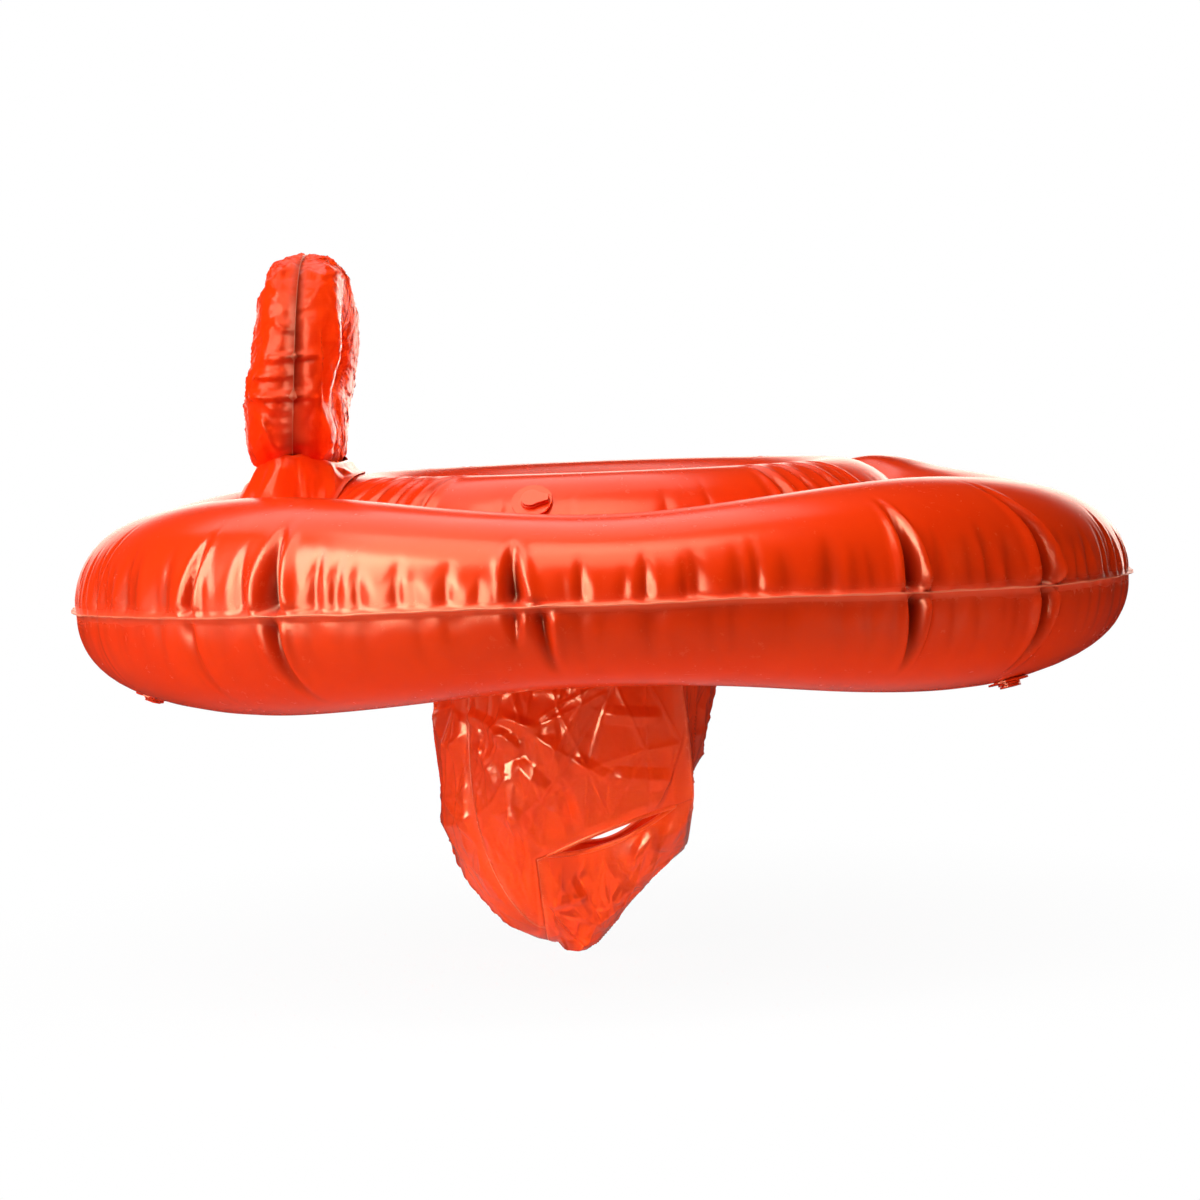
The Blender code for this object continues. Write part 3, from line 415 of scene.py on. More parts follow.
def outer_ring():
    rows = section(eased_turns(TURN_ROWS), WELD_STRIP, -MIDDLE_STRIP / 2.0 + 0.0002)
    film, column, row = lay_film("outer_ring", RING_COLUMNS, len(rows) - 1)
    side, turn, reach = rows[row].T[:3]
    angle = ring_angles(column, RING_COLUMNS)
    radius, height = outer_film(angle, turn, side)
    weld_radius = outer_weld_radius(angle)
    middle_radius = middle_weld_radius(angle)
    above, above_fold_shade = pinched(angle, turn, weld_radius, DEEP_ABOVE + SMALL_ABOVE, PINCH_START)
    below, below_fold_shade = pinched(angle, turn, weld_radius, DEEP_BELOW + SMALL_BELOW, PINCH_START)
    inside, inside_fold_shade = pinched(angle, 1.0 - turn, middle_radius, MIDDLE_GATHERS, PINCH_START)
    outside = np.where(side > 0.0, above, below)
    outside = np.where(reach > 0.0, 0.35 * (above + below), outside)
    height = height + reach * (FIN_RISE + FIN_WAVE * wander(angle, 4, (23, 41, 57, 90)))
    height = height + 0.0007 * wander(angle, 8, (5, 9, 14)) * (1.0 - turn)
    fold_shade = np.where(side > 0.0, above_fold_shade, below_fold_shade) + inside_fold_shade
    return finish_ring(film, rows[row].T, angle, (radius, height), outside, inside, 0.012, fold_shade)


outer = outer_ring()
print("outer ring", len(outer.data.polygons), "faces, volume", round(facing(outer) * 1000.0, 2), "litres")

# %% [markdown]
# The inner ring is the same kind of tube on a smaller circle. The film has further to shrink
# there, so its creases run right over the crest, and they crowd at the rear and front corners.

# %% Blow up the inner ring
INNER_COLUMNS = 800
INNER_ROWS = 30
INNER_GATHERS = gathers(21, 46, 0.0042, 0.42, 0.0036)
HOLE_GATHERS = gathers(22, 40, 0.0036, 0.40, 0.0034)
CORNER_FOLDS = [
    Pinch(-151.0, 0.0045, 0.60, 0.0030, 0.6, 0.012),
    Pinch(-145.0, 0.0042, 0.62, 0.0028, 0.6, 0.012),
    Pinch(-139.0, 0.0050, 0.62, 0.0030, 0.6, 0.012),
    Pinch(-133.0, 0.0040, 0.58, 0.0028, 0.6, 0.010),
    Pinch(-126.0, 0.0060, 0.66, 0.0034, 0.7, 0.012),
    Pinch(-52.0, 0.0052, 0.62, 0.0032, 0.6, -0.012),
    Pinch(-45.0, 0.0048, 0.60, 0.0028, 0.6, -0.012),
    Pinch(-38.0, 0.0046, 0.62, 0.0028, 0.6, -0.012),
    Pinch(-31.0, 0.0040, 0.60, 0.0028, 0.6, -0.010),
    Pinch(40.0, 0.0048, 0.60, 0.0030, 0.6, 0.010),
    Pinch(52.0, 0.0042, 0.55, 0.0030, 0.6, 0.008),
    Pinch(128.0, 0.0050, 0.60, 0.0030, 0.6, -0.010),
    Pinch(141.0, 0.0044, 0.60, 0.0030, 0.6, -0.008),
]


def inner_film(angle, turn, side):
    """Radius and height of the inner ring's smooth film."""
    lift = side * FILM
    first = (middle_weld_radius(angle) - MIDDLE_STRIP / 2.0, MIDDLE_HEIGHT + lift)
    last = (hole_weld_radius(angle), HOLE_HEIGHT + lift)
    crest = ((first[0] + last[0]) / 2.0, np.where(side > 0.0, INNER_CREST, INNER_BELLY))
    return bowed(turn, first, last, crest, 2.0)


def inner_ring():
    rows = section(eased_turns(INNER_ROWS), MIDDLE_STRIP / 2.0 - 0.0002, -WELD_STRIP)
    film, column, row = lay_film("inner_ring", INNER_COLUMNS, len(rows) - 1)
    side, turn = rows[row].T[:2]
    angle = ring_angles(column, INNER_COLUMNS)
    place = inner_film(angle, turn, side)
    pinches = INNER_GATHERS + CORNER_FOLDS
    outside, fold_shade = pinched(angle, turn, middle_weld_radius(angle), pinches, PINCH_START)
    inside = pinched(angle, 1.0 - turn, hole_weld_radius(angle), HOLE_GATHERS, PINCH_START)[0]
    return finish_ring(film, rows[row].T, angle, place, outside, inside, WELD_FADE, fold_shade)


inner = inner_ring()
print("inner ring", len(inner.data.polygons), "faces, volume", round(facing(inner) * 1000.0, 2), "litres")

# %% [markdown]
# Thin film keeps every fold it was ever packed in. Crumpled film is a net of sharp ridges with
# flat facets between them, so random high and low points are strewn over the sheet, joined to
# triangles, and the film is lifted along its normal by the height of the triangle it lies in.
# Longer creases that the photograph shows are then drawn one by one, in side view.

# %% Crumple film


def normals_of(piece):
    """The mesh's point normals as rows of x, y and z."""
    normals = np.empty(len(piece.data.vertices) * 3, np.float32)
    piece.data.vertex_normals.foreach_get("vector", normals)
    return normals.reshape(-1, 3).astype(float)


def facets(along, down, seed, cell, stretch=1.0, slant=0.0, period=0.0, ridge=0.0):
    """Heights between -1 and 1 of a net of flat facets over a sheet, with a sharp ridge at each joint."""
    draw = random.Random(seed)
    wide = period / max(round(period / cell), 1) if period else cell
    tall = cell * stretch
    columns = int((along.max() - along.min()) / wide) + 3
    rows = int((down.max() - down.min()) / tall) + 3
    chance = {}
    sites, heights = [], []
    for column in range(-1, columns):
        for row in range(-1, rows):
            key = (column % round(period / wide), row) if period else (column, row)
            if key not in chance:
                chance[key] = [draw.uniform(-0.42, 0.42), draw.uniform(-0.42, 0.42), draw.uniform(-1.0, 1.0)]
            aside, below, height = chance[key]
            place = (along.min() + (column + aside) * wide, down.min() + (row + below) * tall)
            sites.append(Vector((place[0] + slant * place[1], place[1])))
            heights.append(height)
    lift = np.zeros(len(along))
    for corners in delaunay_2d_cdt(sites, [], [], 0, 0.00001)[2]:
        a, b, c = (sites[index] for index in corners)
        span = (b.x - a.x) * (c.y - a.y) - (c.x - a.x) * (b.y - a.y)
        if abs(span) < 1e-12:
            continue
        second = ((along - a.x) * (c.y - a.y) - (c.x - a.x) * (down - a.y)) / span
        third = ((b.x - a.x) * (down - a.y) - (along - a.x) * (b.y - a.y)) / span
        inside = (second >= 0.0) & (third >= 0.0) & (second + third <= 1.0)
        ha, hb, hc = (heights[index] for index in corners)
        nearest = np.minimum(np.minimum(second, third), 1.0 - second - third)
        sharp = ridge * np.exp(-np.maximum(nearest, 0.0) * cell / 0.0016)
        lift[inside] = (ha + (hb - ha) * second + (hc - ha) * third + sharp)[inside]
    return lift


def creased(points, creases):
    """The lift from straight creases drawn in side view, each from one place to another."""
    lift = np.zeros(len(points))
    for x0, z0, x1, z1, height, before, after in creases:
        length = math.hypot(x1 - x0, z1 - z0)
        along = ((points[:, 0] - x0) * (x1 - x0) + (points[:, 2] - z0) * (z1 - z0)) / length**2
        aside = ((points[:, 0] - x0) * (z0 - z1) + (points[:, 2] - z0) * (x1 - x0)) / length
        flank = np.where(aside < 0.0, -aside / before, aside / after)
        fade = smooth(np.minimum(along + 0.15, 1.15 - along) / 0.3)
        lift += height * np.clip(1.0 - flank, 0.0, 1.0) * fade
    return lift


# %% [markdown]
# The backrest pillow is two sheets welded round the edge and over an oval in the middle. It is
# laid out from the middle of the front sheet, over the edge weld and back to the middle of the
# rear sheet, as one closed skin. Its facets and creases are laid into it here, by formula.

# %% Lay out the backrest pillow
pillow_low, pillow_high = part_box("backrest_rear")
PILLOW_X = -0.1852
PILLOW_LEAN = 0.070
PILLOW_BOW = 0.002
PILLOW_HALF_WIDTH = (pillow_high.y - pillow_low.y) / 2.0
PILLOW_TOP = pillow_high.z
PILLOW_FOOT = pillow_low.z - 0.006
PILLOW_SWELL = (0.0222, 0.0272)
PILLOW_SQUARENESS = (2.7, 4.6)
PILLOW_STRIP = 0.0012
OVAL_HALF = (0.032, 0.017)
OVAL_HEIGHT = 0.150
PILLOW_ROUND = 2.0 * math.pi * 0.080
FOOT_SLIMMING = 0.0055
SHOULDER_SWELL = 0.0018
# Each layer of crumples: its height, seed, the size of its facets, their stretch and their ridge.
PILLOW_LAYERS = [(0.0034, 71, 0.030, 0.9, 0.25), (0.0015, 72, 0.012, 1.0, 0.35)]
PILLOW_COLUMNS = 360
PILLOW_ROWS = 52
print("pillow", [round(v, 4) for v in (PILLOW_HALF_WIDTH, PILLOW_TOP, PILLOW_FOOT)])


def read_mark(piece, name):
    """The number stored for each point."""
    values = np.empty(len(piece.data.vertices), np.float32)
    piece.data.attributes[name].data.foreach_get("value", values)
    return values.astype(float)


# Each crease: from x, z to x, z in side view, its height, and its width before and after.
PILLOW_CREASES = [
    (-0.1940, 0.1519, -0.1639, 0.1532, 0.0030, 0.0016, 0.0040),
    (-0.2010, 0.1413, -0.1854, 0.1420, 0.0028, 0.0016, 0.0040),
    (-0.2034, 0.1295, -0.1686, 0.1288, 0.0036, 0.0018, 0.0050),
    (-0.1990, 0.1180, -0.1890, 0.0960, 0.0032, 0.0040, 0.0020),
    (-0.1790, 0.1200, -0.1730, 0.0980, 0.0032, 0.0020, 0.0040),
    (-0.1940, 0.1960, -0.1790, 0.2080, 0.0030, 0.0040, 0.0020),
    (-0.1720, 0.2040, -0.1620, 0.1960, 0.0030, 0.0020, 0.0040),
    (-0.1900, 0.1750, -0.1800, 0.1650, 0.0026, 0.0020, 0.0040),
    (-0.1594, 0.1700, -0.1604, 0.1150, -0.0046, 0.0030, 0.0050),
]


def bow_x(across, height):
    """Where the pillow's middle plane lies, with its gentle bow and its lean to the front."""
    bow = PILLOW_BOW * (across / PILLOW_HALF_WIDTH) ** 2
    return PILLOW_X + bow + PILLOW_LEAN * (height - PILLOW_FOOT)


def pillow():
    turns = np.linspace(0.0, 1.0, PILLOW_ROWS + 1)
    rows = [(1.0, 1.0, 0.0, share) for share in (1.0, 0.6, 0.3)]
    rows += [(1.0, turn, 0.0, 0.0) for turn in turns[::-1]]
    rows += [(1.0, 0.0, PILLOW_STRIP, 0.0), (-1.0, 0.0, PILLOW_STRIP, 0.0)]
    rows += [(-1.0, turn, 0.0, 0.0) for turn in turns]
    rows += [(-1.0, 1.0, 0.0, share) for share in (0.3, 0.6, 1.0)]
    rows = np.array(rows)
    film, column, row = lay_film("backrest_pillow", PILLOW_COLUMNS, len(rows) - 1)
    side, turn, reach, hub = rows[row].T
    around = 2.0 * np.pi * column / PILLOW_COLUMNS
    middle = (PILLOW_TOP + PILLOW_FOOT) / 2.0
    half_height = (PILLOW_TOP - PILLOW_FOOT) / 2.0 - WELD_STRIP
    half_width = PILLOW_HALF_WIDTH - WELD_STRIP
    square = np.where(np.sin(around) > 0.0, *PILLOW_SQUARENESS)
    rim = rounded(around, half_width, half_height, square)
    oval = rounded(around, *OVAL_HALF, 2.2)
    inward = 0.5 - 0.5 * np.cos(np.pi * turn)
    over = SHOULDER_SWELL * np.where(turn < 0.5, np.sin(2.0 * np.pi * turn), 0.0) * np.cos(around) ** 2
    radius = (rim + (oval - rim) * inward + reach + over) * (1.0 - hub)
    height = middle + (OVAL_HEIGHT - middle) * inward + radius * np.sin(around)
    low = smooth(0.5 - 0.5 * np.sin(around))
    high = smooth(2.2 * np.sin(around) - 1.2)
    fullness = np.where(turn < 0.5, 0.50 - 0.10 * low + 0.45 * high, 0.40)
    bulk = PILLOW_SWELL[0] + (PILLOW_SWELL[1] - PILLOW_SWELL[0]) * low
    slimming = FOOT_SLIMMING * smooth(2.0 * low - 0.7) * np.sin(np.pi * turn)
    swell = bulk * np.sin(np.pi * turn) ** fullness - np.where(side > 0.0, slimming, 0.0)
    across = radius * np.cos(around)
    x = bow_x(across, height) + side * (FILM / 2.0 + swell)
    write_points(film, np.stack([x, across, height], axis=1))
    mark(film, "weld", np.maximum(np.exp(-turn / 0.03), np.exp(-(1.0 - turn) / 0.02)))
    mark(film, "strip", (reach > 0.0) | (hub > 0.0) | (turn > 0.999))
    along, inwards = around / (2.0 * np.pi) * PILLOW_ROUND, side * (swell + 0.060 * inward + 0.004)
    lift = np.zeros(len(turn))
    for tall, seed, cell, stretch, ridge in PILLOW_LAYERS:
        lift += tall * facets(along, inwards, seed, cell, stretch, 0.0, PILLOW_ROUND, ridge)
    calm = np.where(side > 0.0, 1.0 - 0.75 * smooth((turn - 0.25) / 0.3), 1.0)
    mark(film, "lift", lift * calm * smooth(np.minimum(turn / 0.02, (1.0 - turn) / 0.10)))
    at_rim, at_oval = np.exp(-((turn / 0.012) ** 2)), np.exp(-(((1.0 - turn) / 0.05) ** 2))
    # Painted shade along the edge weld and round the oval weld.
    mark(film, "fold_shade", 0.55 * at_rim + 0.5 * at_oval)
    close_film(film, True)
    points, normals = read_points(film), normals_of(film)
    lift = read_mark(film, "lift") + np.where(points[:, 1] < 0.0, creased(points, PILLOW_CREASES), 0.0)
    write_points(film, points + normals * lift[:, None])
    return film


backrest = pillow()
print("pillow", len(backrest.data.polygons), "faces, volume", round(facing(backrest) * 1e6), "cubic cm")

# %% [markdown]
# The pillow's two welds hold still while the air pushes the film between them out. The film is
# told to be a few percent larger than it was laid, so it can buckle between the welds. Every
# movement is eased off towards a set limit, which no point passes, so that the pillow stays in
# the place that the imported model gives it.

# %% Fill the pillow with air
AIR_SPARE = 0.04
AIR_PRESSURE = 4.0
AIR_FRAMES = 14
AIR_REACH = 0.0025


def blow(piece, pinned, spare, pressure, frames, furthest, stiffness=20.0, bending=0.4, seed=1):
    """Run Blender's cloth on a piece whose pinned points stay, and keep most of its movement."""
    start = read_points(piece)
    draw = np.random.default_rng(seed)
    ripple = draw.normal(0.0, 0.00025, len(start)) * (1.0 - pinned)
    write_points(piece, start + normals_of(piece) * ripple[:, None])
    group = piece.vertex_groups.new(name="welded")
    for index in np.flatnonzero(pinned > 0.5):
        group.add([int(index)], 1.0, "REPLACE")
    cloth = piece.modifiers.new("air", "CLOTH")
    settings = cloth.settings
    settings.quality = 5
    settings.mass = 0.15
    settings.tension_stiffness = stiffness
    settings.compression_stiffness = stiffness
    settings.shear_stiffness = stiffness / 3.0
    settings.bending_stiffness = bending
    settings.air_damping = 2.0
    settings.shrink_min = -spare
    settings.vertex_group_mass = "welded"
    settings.use_pressure = pressure > 0.0
    settings.uniform_pressure_force = pressure
    settings.effector_weights.gravity = 0.0
    cloth.collision_settings.use_collision = False
    cloth.point_cache.frame_start = 1
    cloth.point_cache.frame_end = frames
    for step in range(1, frames + 1):
        bpy.context.scene.frame_set(step)
    graph = bpy.context.evaluated_depsgraph_get()
    ended = piece.evaluated_get(graph).to_mesh()
    points = np.empty(len(ended.vertices) * 3, np.float32)
    ended.vertices.foreach_get("co", points)
    piece.evaluated_get(graph).to_mesh_clear()
    piece.modifiers.remove(cloth)
    piece.vertex_groups.remove(group)
    bpy.context.scene.frame_set(1)
    moved = points.reshape(-1, 3) - start
    length = np.linalg.norm(moved, axis=1, keepdims=True)
    kept = furthest * np.tanh(length / furthest) / np.maximum(length, 1e-9)
    write_points(piece, start + moved * kept)
    return float(length.max())


pinned = (read_mark(backrest, "strip") > 0.5) | (read_mark(backrest, "weld") > 0.99)
moved = blow(backrest, pinned.astype(float), AIR_SPARE, AIR_PRESSURE, AIR_FRAMES, AIR_REACH)
print("the air moved the film up to", round(moved * 1000.0, 1), "mm before the limit was applied")

# %% [markdown]
# The sling hangs from the band round the body hole. A rear, a front and two side panels come
# down to the crotch panel, which passes between the leg holes. The panels are drawn from the
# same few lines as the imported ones: the band, the leg-hole line and the trough.

# %% Draw the sling's lines
BAND_STRIP = 0.004
SLING_TOP = hole_low.z - 0.0003
FRONT_SEAM = math.radians(66.0)
REAR_SEAM = math.radians(150.0)
REAR_BULGE = 0.040
SIDE_BULGE = 0.008
FRONT_BULGE = -0.006
LEG_HOLE_X = 0.0
LEG_HOLE_HALF = 0.039
LEG_HOLE_SPREAD = 0.063
LEG_HOLE_HEIGHT = -0.143
LEG_HOLE_SLOPE = 0.35
OUTER_EDGE = np.array([0.0, 0.010, 0.003])
INNER_EDGE = np.array([0.0, -0.022, -0.011])
FAR_SAG = 0.0080
CROTCH_REAR = -0.0465
CROTCH_FRONT = 0.0508
CROTCH_BOW = 0.004
CROTCH_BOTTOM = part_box("sling_crotch_panel")[0].z + 0.0003
CROTCH_LOWEST = -0.024
CROTCH_ROUNDING = 0.006
CROTCH_RISES = (0.42, 0.92)
REAR_SHARE = 0.48
HEM_RADIUS = 0.0016
print("crotch bottom", round(CROTCH_BOTTOM, 4))


def hole_edge(x, opened):
    """A leg hole's edge at places along it; the side panel's edge or the crotch panel's."""
    share = np.maximum(0.0, 1.0 - ((x - LEG_HOLE_X) / LEG_HOLE_HALF) ** 2)
    height = LEG_HOLE_HEIGHT + LEG_HOLE_SLOPE * (x - LEG_HOLE_X)
    line = np.stack([x, np.full_like(x, LEG_HOLE_SPREAD), height], axis=-1)
    return line + share[..., None] * opened


def left_sag(x):
    """The left hole's lower edge hangs more open than the right one's."""
    return FAR_SAG * np.maximum(0.0, 1.0 - ((x - LEG_HOLE_X) / LEG_HOLE_HALF) ** 2)


def trough(x, swing):
    """A point on the crotch panel's trough, with swing -1 to 1 from its right edge to its left."""
    edge = hole_edge(x, INNER_EDGE)
    away = x - CROTCH_LOWEST
    slope = np.where(away > 0.0, CROTCH_RISES[1], CROTCH_RISES[0])
    rise = np.hypot(slope * away, CROTCH_ROUNDING) - CROTCH_ROUNDING
    sink = edge[..., 2] - (CROTCH_BOTTOM + rise)
    drawn = 1.0 - np.abs(swing) ** 2.2
    reach = (x - CROTCH_REAR) / (CROTCH_FRONT - CROTCH_REAR)
    shift = CROTCH_BOW * (1.0 - swing * swing) * (1.0 - 2.0 * reach)
    height = edge[..., 2] - sink * drawn - left_sag(x) * np.maximum(swing, 0.0) ** 3
    return np.stack([x + shift, edge[..., 1] * swing, height], axis=-1)


def sling_top(angle):
    """The sling's upper edge, just under the band round the body hole."""
    radius = hole_weld_radius(angle) - WELD_STRIP - 0.0003 - BAND_STRIP / 2.0
    return np.stack([radius * np.cos(angle), radius * np.sin(angle), np.full_like(angle, SLING_TOP)], axis=-1)


def hung(angle, low, down):
    """Points of a panel that hangs from the body hole to its lower edge."""
    place = sling_top(angle) * (1.0 - down[:, None]) + low * down[:, None]
    facing_front = np.cos(angle)
    end = np.where(facing_front < 0.0, REAR_BULGE, FRONT_BULGE)
    bulge = SIDE_BULGE + (end - SIDE_BULGE) * facing_front**2
    belly = np.abs(np.sin(np.pi * down**1.8)) ** 0.6
    outward = np.stack([np.cos(angle), np.sin(angle), np.zeros_like(angle)], axis=-1)
    return place + outward * (bulge * belly)[:, None]


# %% [markdown]
# Each panel is laid as a flat sheet and hung between its lines. Its points keep how far along
# and down the sheet they lie, which the crumples use, and how near they are to its edges, where
# the welds hold the film smooth.

# %% Cut and hang the panels
EDGE_CALM = 0.07
PANEL_COLUMNS = 170
PANEL_ROWS = 160
CROTCH_ROWS = 130


def finish_panel(film, points, along, down, inside_out):
    """Put a panel's points in place, and mark where on the sheet each of them lies."""
    seam = np.minimum(along, 1.0 - along)
    write_points(film, points)
    mark(film, "inside", smooth(np.minimum(seam, np.minimum(down, 1.0 - down)) / EDGE_CALM))
    mark(film, "along", along)
    mark(film, "down", down)
    mark(film, "weld", np.exp(-seam / 0.02))
    close_film(film, inside_out)
    return film


def side_lows(t, side):
    """A side panel's lower edge: along the crotch weld, then along the leg hole."""
    turned = 0.25
    share = REAR_SHARE + (1.0 - REAR_SHARE) * np.clip(t / turned, 0.0, 1.0)
    x = CROTCH_REAR + (CROTCH_FRONT - CROTCH_REAR) * np.clip((t - turned) / (1.0 - turned), 0.0, 1.0)
    behind = trough(np.full_like(t, CROTCH_REAR), share)
    beside = hole_edge(x, OUTER_EDGE)
    low = np.where((t < turned)[:, None], behind, beside)
    low[:, 1] *= side
    return low


def end_lows(t, front):
    """The front or rear panel's lower edge, along its weld to the crotch panel."""
    swing = 2.0 * t - 1.0
    x = CROTCH_FRONT if front else CROTCH_REAR
    return trough(np.full_like(t, x), swing * (1.0 if front else REAR_SHARE))


def panel(name, first, last, lows, inside_out):
    """One hanging panel between two angles, down to its lower edge."""
    film, column, row = lay_film(name, PANEL_COLUMNS, PANEL_ROWS)
    along, down = column / PANEL_COLUMNS, row / PANEL_ROWS
    points = hung(first + (last - first) * along, lows(along), down)
    return finish_panel(film, points, along, down, inside_out)


panels = {
    "sling_right": panel("sling_right", -REAR_SEAM, -FRONT_SEAM, lambda t: side_lows(t, -1.0), True),
    "sling_left": panel("sling_left", REAR_SEAM, FRONT_SEAM, lambda t: side_lows(t, 1.0), False),
    "sling_front": panel("sling_front", -FRONT_SEAM, FRONT_SEAM, lambda t: end_lows(t, True), True),
    "sling_rear": panel(
        "sling_rear", 2.0 * math.pi - REAR_SEAM, REAR_SEAM, lambda t: end_lows(t, False), False
    ),
}


def crotch():
    film, column, row = lay_film("sling_crotch", PANEL_COLUMNS, CROTCH_ROWS)
    x = CROTCH_REAR + (CROTCH_FRONT - CROTCH_REAR) * column / PANEL_COLUMNS
    points = trough(x, 2.0 * row / CROTCH_ROWS - 1.0)
    return finish_panel(film, points, column / PANEL_COLUMNS, row / CROTCH_ROWS, True)


panels["sling_crotch"] = crotch()
print("sling", sum(len(film.data.polygons) for film in panels.values()), "faces in", len(panels), "panels")

# %% [markdown]
# The panels are crumpled in three layers, from broad facets to fine ones, and the creases that
# the photograph shows on the near panels are drawn over them. Each is then given its thickness.

# %% Crumple the panels
# Each crease: from x, z to x, z in side view, its height, and its width before and after.
SIDE_CREASES = [
    (-0.0860, -0.0678, -0.0692, -0.0746, 0.0030, 0.0060, 0.0050),
    (-0.0692, -0.0746, -0.0527, -0.0893, 0.0034, 0.0070, 0.0050),
    (-0.0915, -0.0657, -0.0890, -0.0959, 0.0030, 0.0050, 0.0050),
    (-0.0890, -0.0959, -0.0832, -0.1177, 0.0030, 0.0050, 0.0050),
    (-0.0783, -0.0883, -0.0676, -0.1121, 0.0028, 0.0060, 0.0050),
    (-0.0554, -0.0972, -0.0371, -0.1145, 0.0042, 0.0090, 0.0070),
    (-0.0340, -0.0821, -0.0277, -0.1081, 0.0036, 0.0080, 0.0060),
    (-0.0199, -0.0961, -0.0020, -0.1079, 0.0034, 0.0070, 0.0060),
    (0.0030, -0.1068, 0.0346, -0.1105, 0.0034, 0.0080, 0.0070),
    (-0.0291, -0.1124, -0.0217, -0.1423, -0.0040, 0.0060, 0.0060),
    (-0.0603, -0.1278, -0.0411, -0.1545, 0.0040, 0.0080, 0.0070),
    (-0.0620, -0.0690, -0.0420, -0.0760, 0.0026, 0.0060, 0.0050),
    (0.0000, -0.0690, 0.0300, -0.0720, 0.0028, 0.0060, 0.0060),
]
CROTCH_CREASES = [
    (-0.0253, -0.1563, -0.0089, -0.1619, 0.0030, 0.0050, 0.0050),
    (-0.0089, -0.1619, 0.0085, -0.1391, 0.0034, 0.0050, 0.0050),
    (0.0238, -0.1397, 0.0117, -0.1676, 0.0030, 0.0050, 0.0060),
    (0.0372, -0.1402, 0.0293, -0.1559, 0.0030, 0.0050, 0.0060),
    (0.0003, -0.1932, 0.0112, -0.1806, 0.0028, 0.0050, 0.0050),
    (-0.0222, -0.1725, -0.0104, -0.2008, -0.0034, 0.0060, 0.0060),
    (-0.0400, -0.1900, -0.0150, -0.1860, 0.0024, 0.0050, 0.0050),
]
# Each panel: seed, width and length in metres, slant of its folds, and its drawn creases.
CRUMPLES = {
    "sling_right": (31, 0.20, 0.17, -0.5, SIDE_CREASES),
    "sling_left": (32, 0.20, 0.17, 0.4, SIDE_CREASES),
    "sling_front": (33, 0.20, 0.19, 0.2, []),
    "sling_rear": (34, 0.10, 0.24, -0.2, []),
    "sling_crotch": (35, 0.12, 0.16, 0.4, CROTCH_CREASES),
}
# Each layer: its height, the size of its facets, their stretch and their share of the slant.
PANEL_LAYERS = [(0.0046, 0.036, 1.2, 1.0), (0.0032, 0.014, 2.2, 2.2), (0.0004, 0.007, 1.2, 1.0)]
PANEL_RIDGE = 0.2
SEED_STEP = 20
PANEL_FILM = 0.0005
for name, (seed, width, length, slant, creases) in CRUMPLES.items():
    film = panels[name]
    points, normals = read_points(film), normals_of(film)
    along, down = read_mark(film, "along") * width, read_mark(film, "down") * length
    print(name, "faces", [round(v, 2) for v in normals.mean(axis=0)])
    lift = creased(points, creases)
    for layer, (tall, cell, stretch, share) in enumerate(PANEL_LAYERS):
        folds = facets(along, down, seed + SEED_STEP * layer, cell, stretch, share * slant, 0.0, PANEL_RIDGE)
        lift += tall * folds
    write_points(film, points + normals * (lift * read_mark(film, "inside"))[:, None])


def give_thickness(film, thickness):
    """Give an open film its thickness, half to each side."""
    alone(film)
    wall = film.modifiers.new("film", "SOLIDIFY")
    wall.thickness = thickness
    wall.offset = 0.0
    wall.use_even_offset = False
    bpy.ops.object.modifier_apply(modifier=wall.name)


for film in panels.values():
    area = sum(face.area for face in film.data.polygons)
    give_thickness(film, PANEL_FILM)
    print(film.name, len(film.data.polygons), "faces,", round(area * 1e4), "square centimetres")

# %% [markdown]
# A rolled hem finishes each leg hole. It follows the hole's two edges as one closed bead, so it
# is drawn as a curve with a round bevel and then made a mesh.

# %% Roll the hems


def bead(name, line, radius):
    """A round bead along a closed line of points."""
    curve = bpy.data.curves.new(name, "CURVE")
    curve.dimensions = "3D"
    run = curve.splines.new("POLY")
    run.points.add(len(line) - 1)
    for point, place in zip(run.points, line):
        point.co = (*place, 1.0)
    run.use_cyclic_u = True
    curve.bevel_depth = radius
    curve.bevel_resolution = 4
    drawn = bpy.data.objects.new(name, curve)
    bpy.context.scene.collection.objects.link(drawn)
    alone(drawn)
    bpy.ops.object.convert(target="MESH")
    bpy.ops.object.shade_smooth()
    return bpy.context.object


def leg_hem(name, side):
    turned = np.linspace(0.0, 2.0 * np.pi, 120, endpoint=False)
    x = LEG_HOLE_X + LEG_HOLE_HALF * np.cos(turned)
    outer_half = np.sin(turned) > 0.0
    line = np.where(outer_half[:, None], hole_edge(x, OUTER_EDGE), hole_edge(x, INNER_EDGE))
    if side > 0.0:
        line[:, 2] -= np.where(outer_half, 0.0, left_sag(x))
    line[:, 1] *= side
    return bead(name, line, HEM_RADIUS)


hem_left = leg_hem("hem_left", 1.0)
hem_right = leg_hem("hem_right", -1.0)
print("hems", len(hem_left.data.polygons), "faces each")

# %% [markdown]
# A film skirt boxes in the pillow's foot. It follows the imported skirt: an oval foot on the
# rings, drawn in to a narrower mouth under the pillow.

# %% Wrap the skirt
SKIRT_COLUMNS = 320
SKIRT_ROWS = 30
SKIRT_MOUTH = (0.0262, 0.088)
SKIRT_HEM = (0.041, 0.106)
SKIRT_SQUARING = 0.7
SKIRT_FLARE = 0.55
SKIRT_OVERLAP = 0.003
SKIRT_TUCK = 0.005
SKIRT_SHIFT = 0.004
SKIRT_LOWEST = 0.022
SKIRT_CLEARANCE = 0.0012
SKIRT_ROUND = 0.46


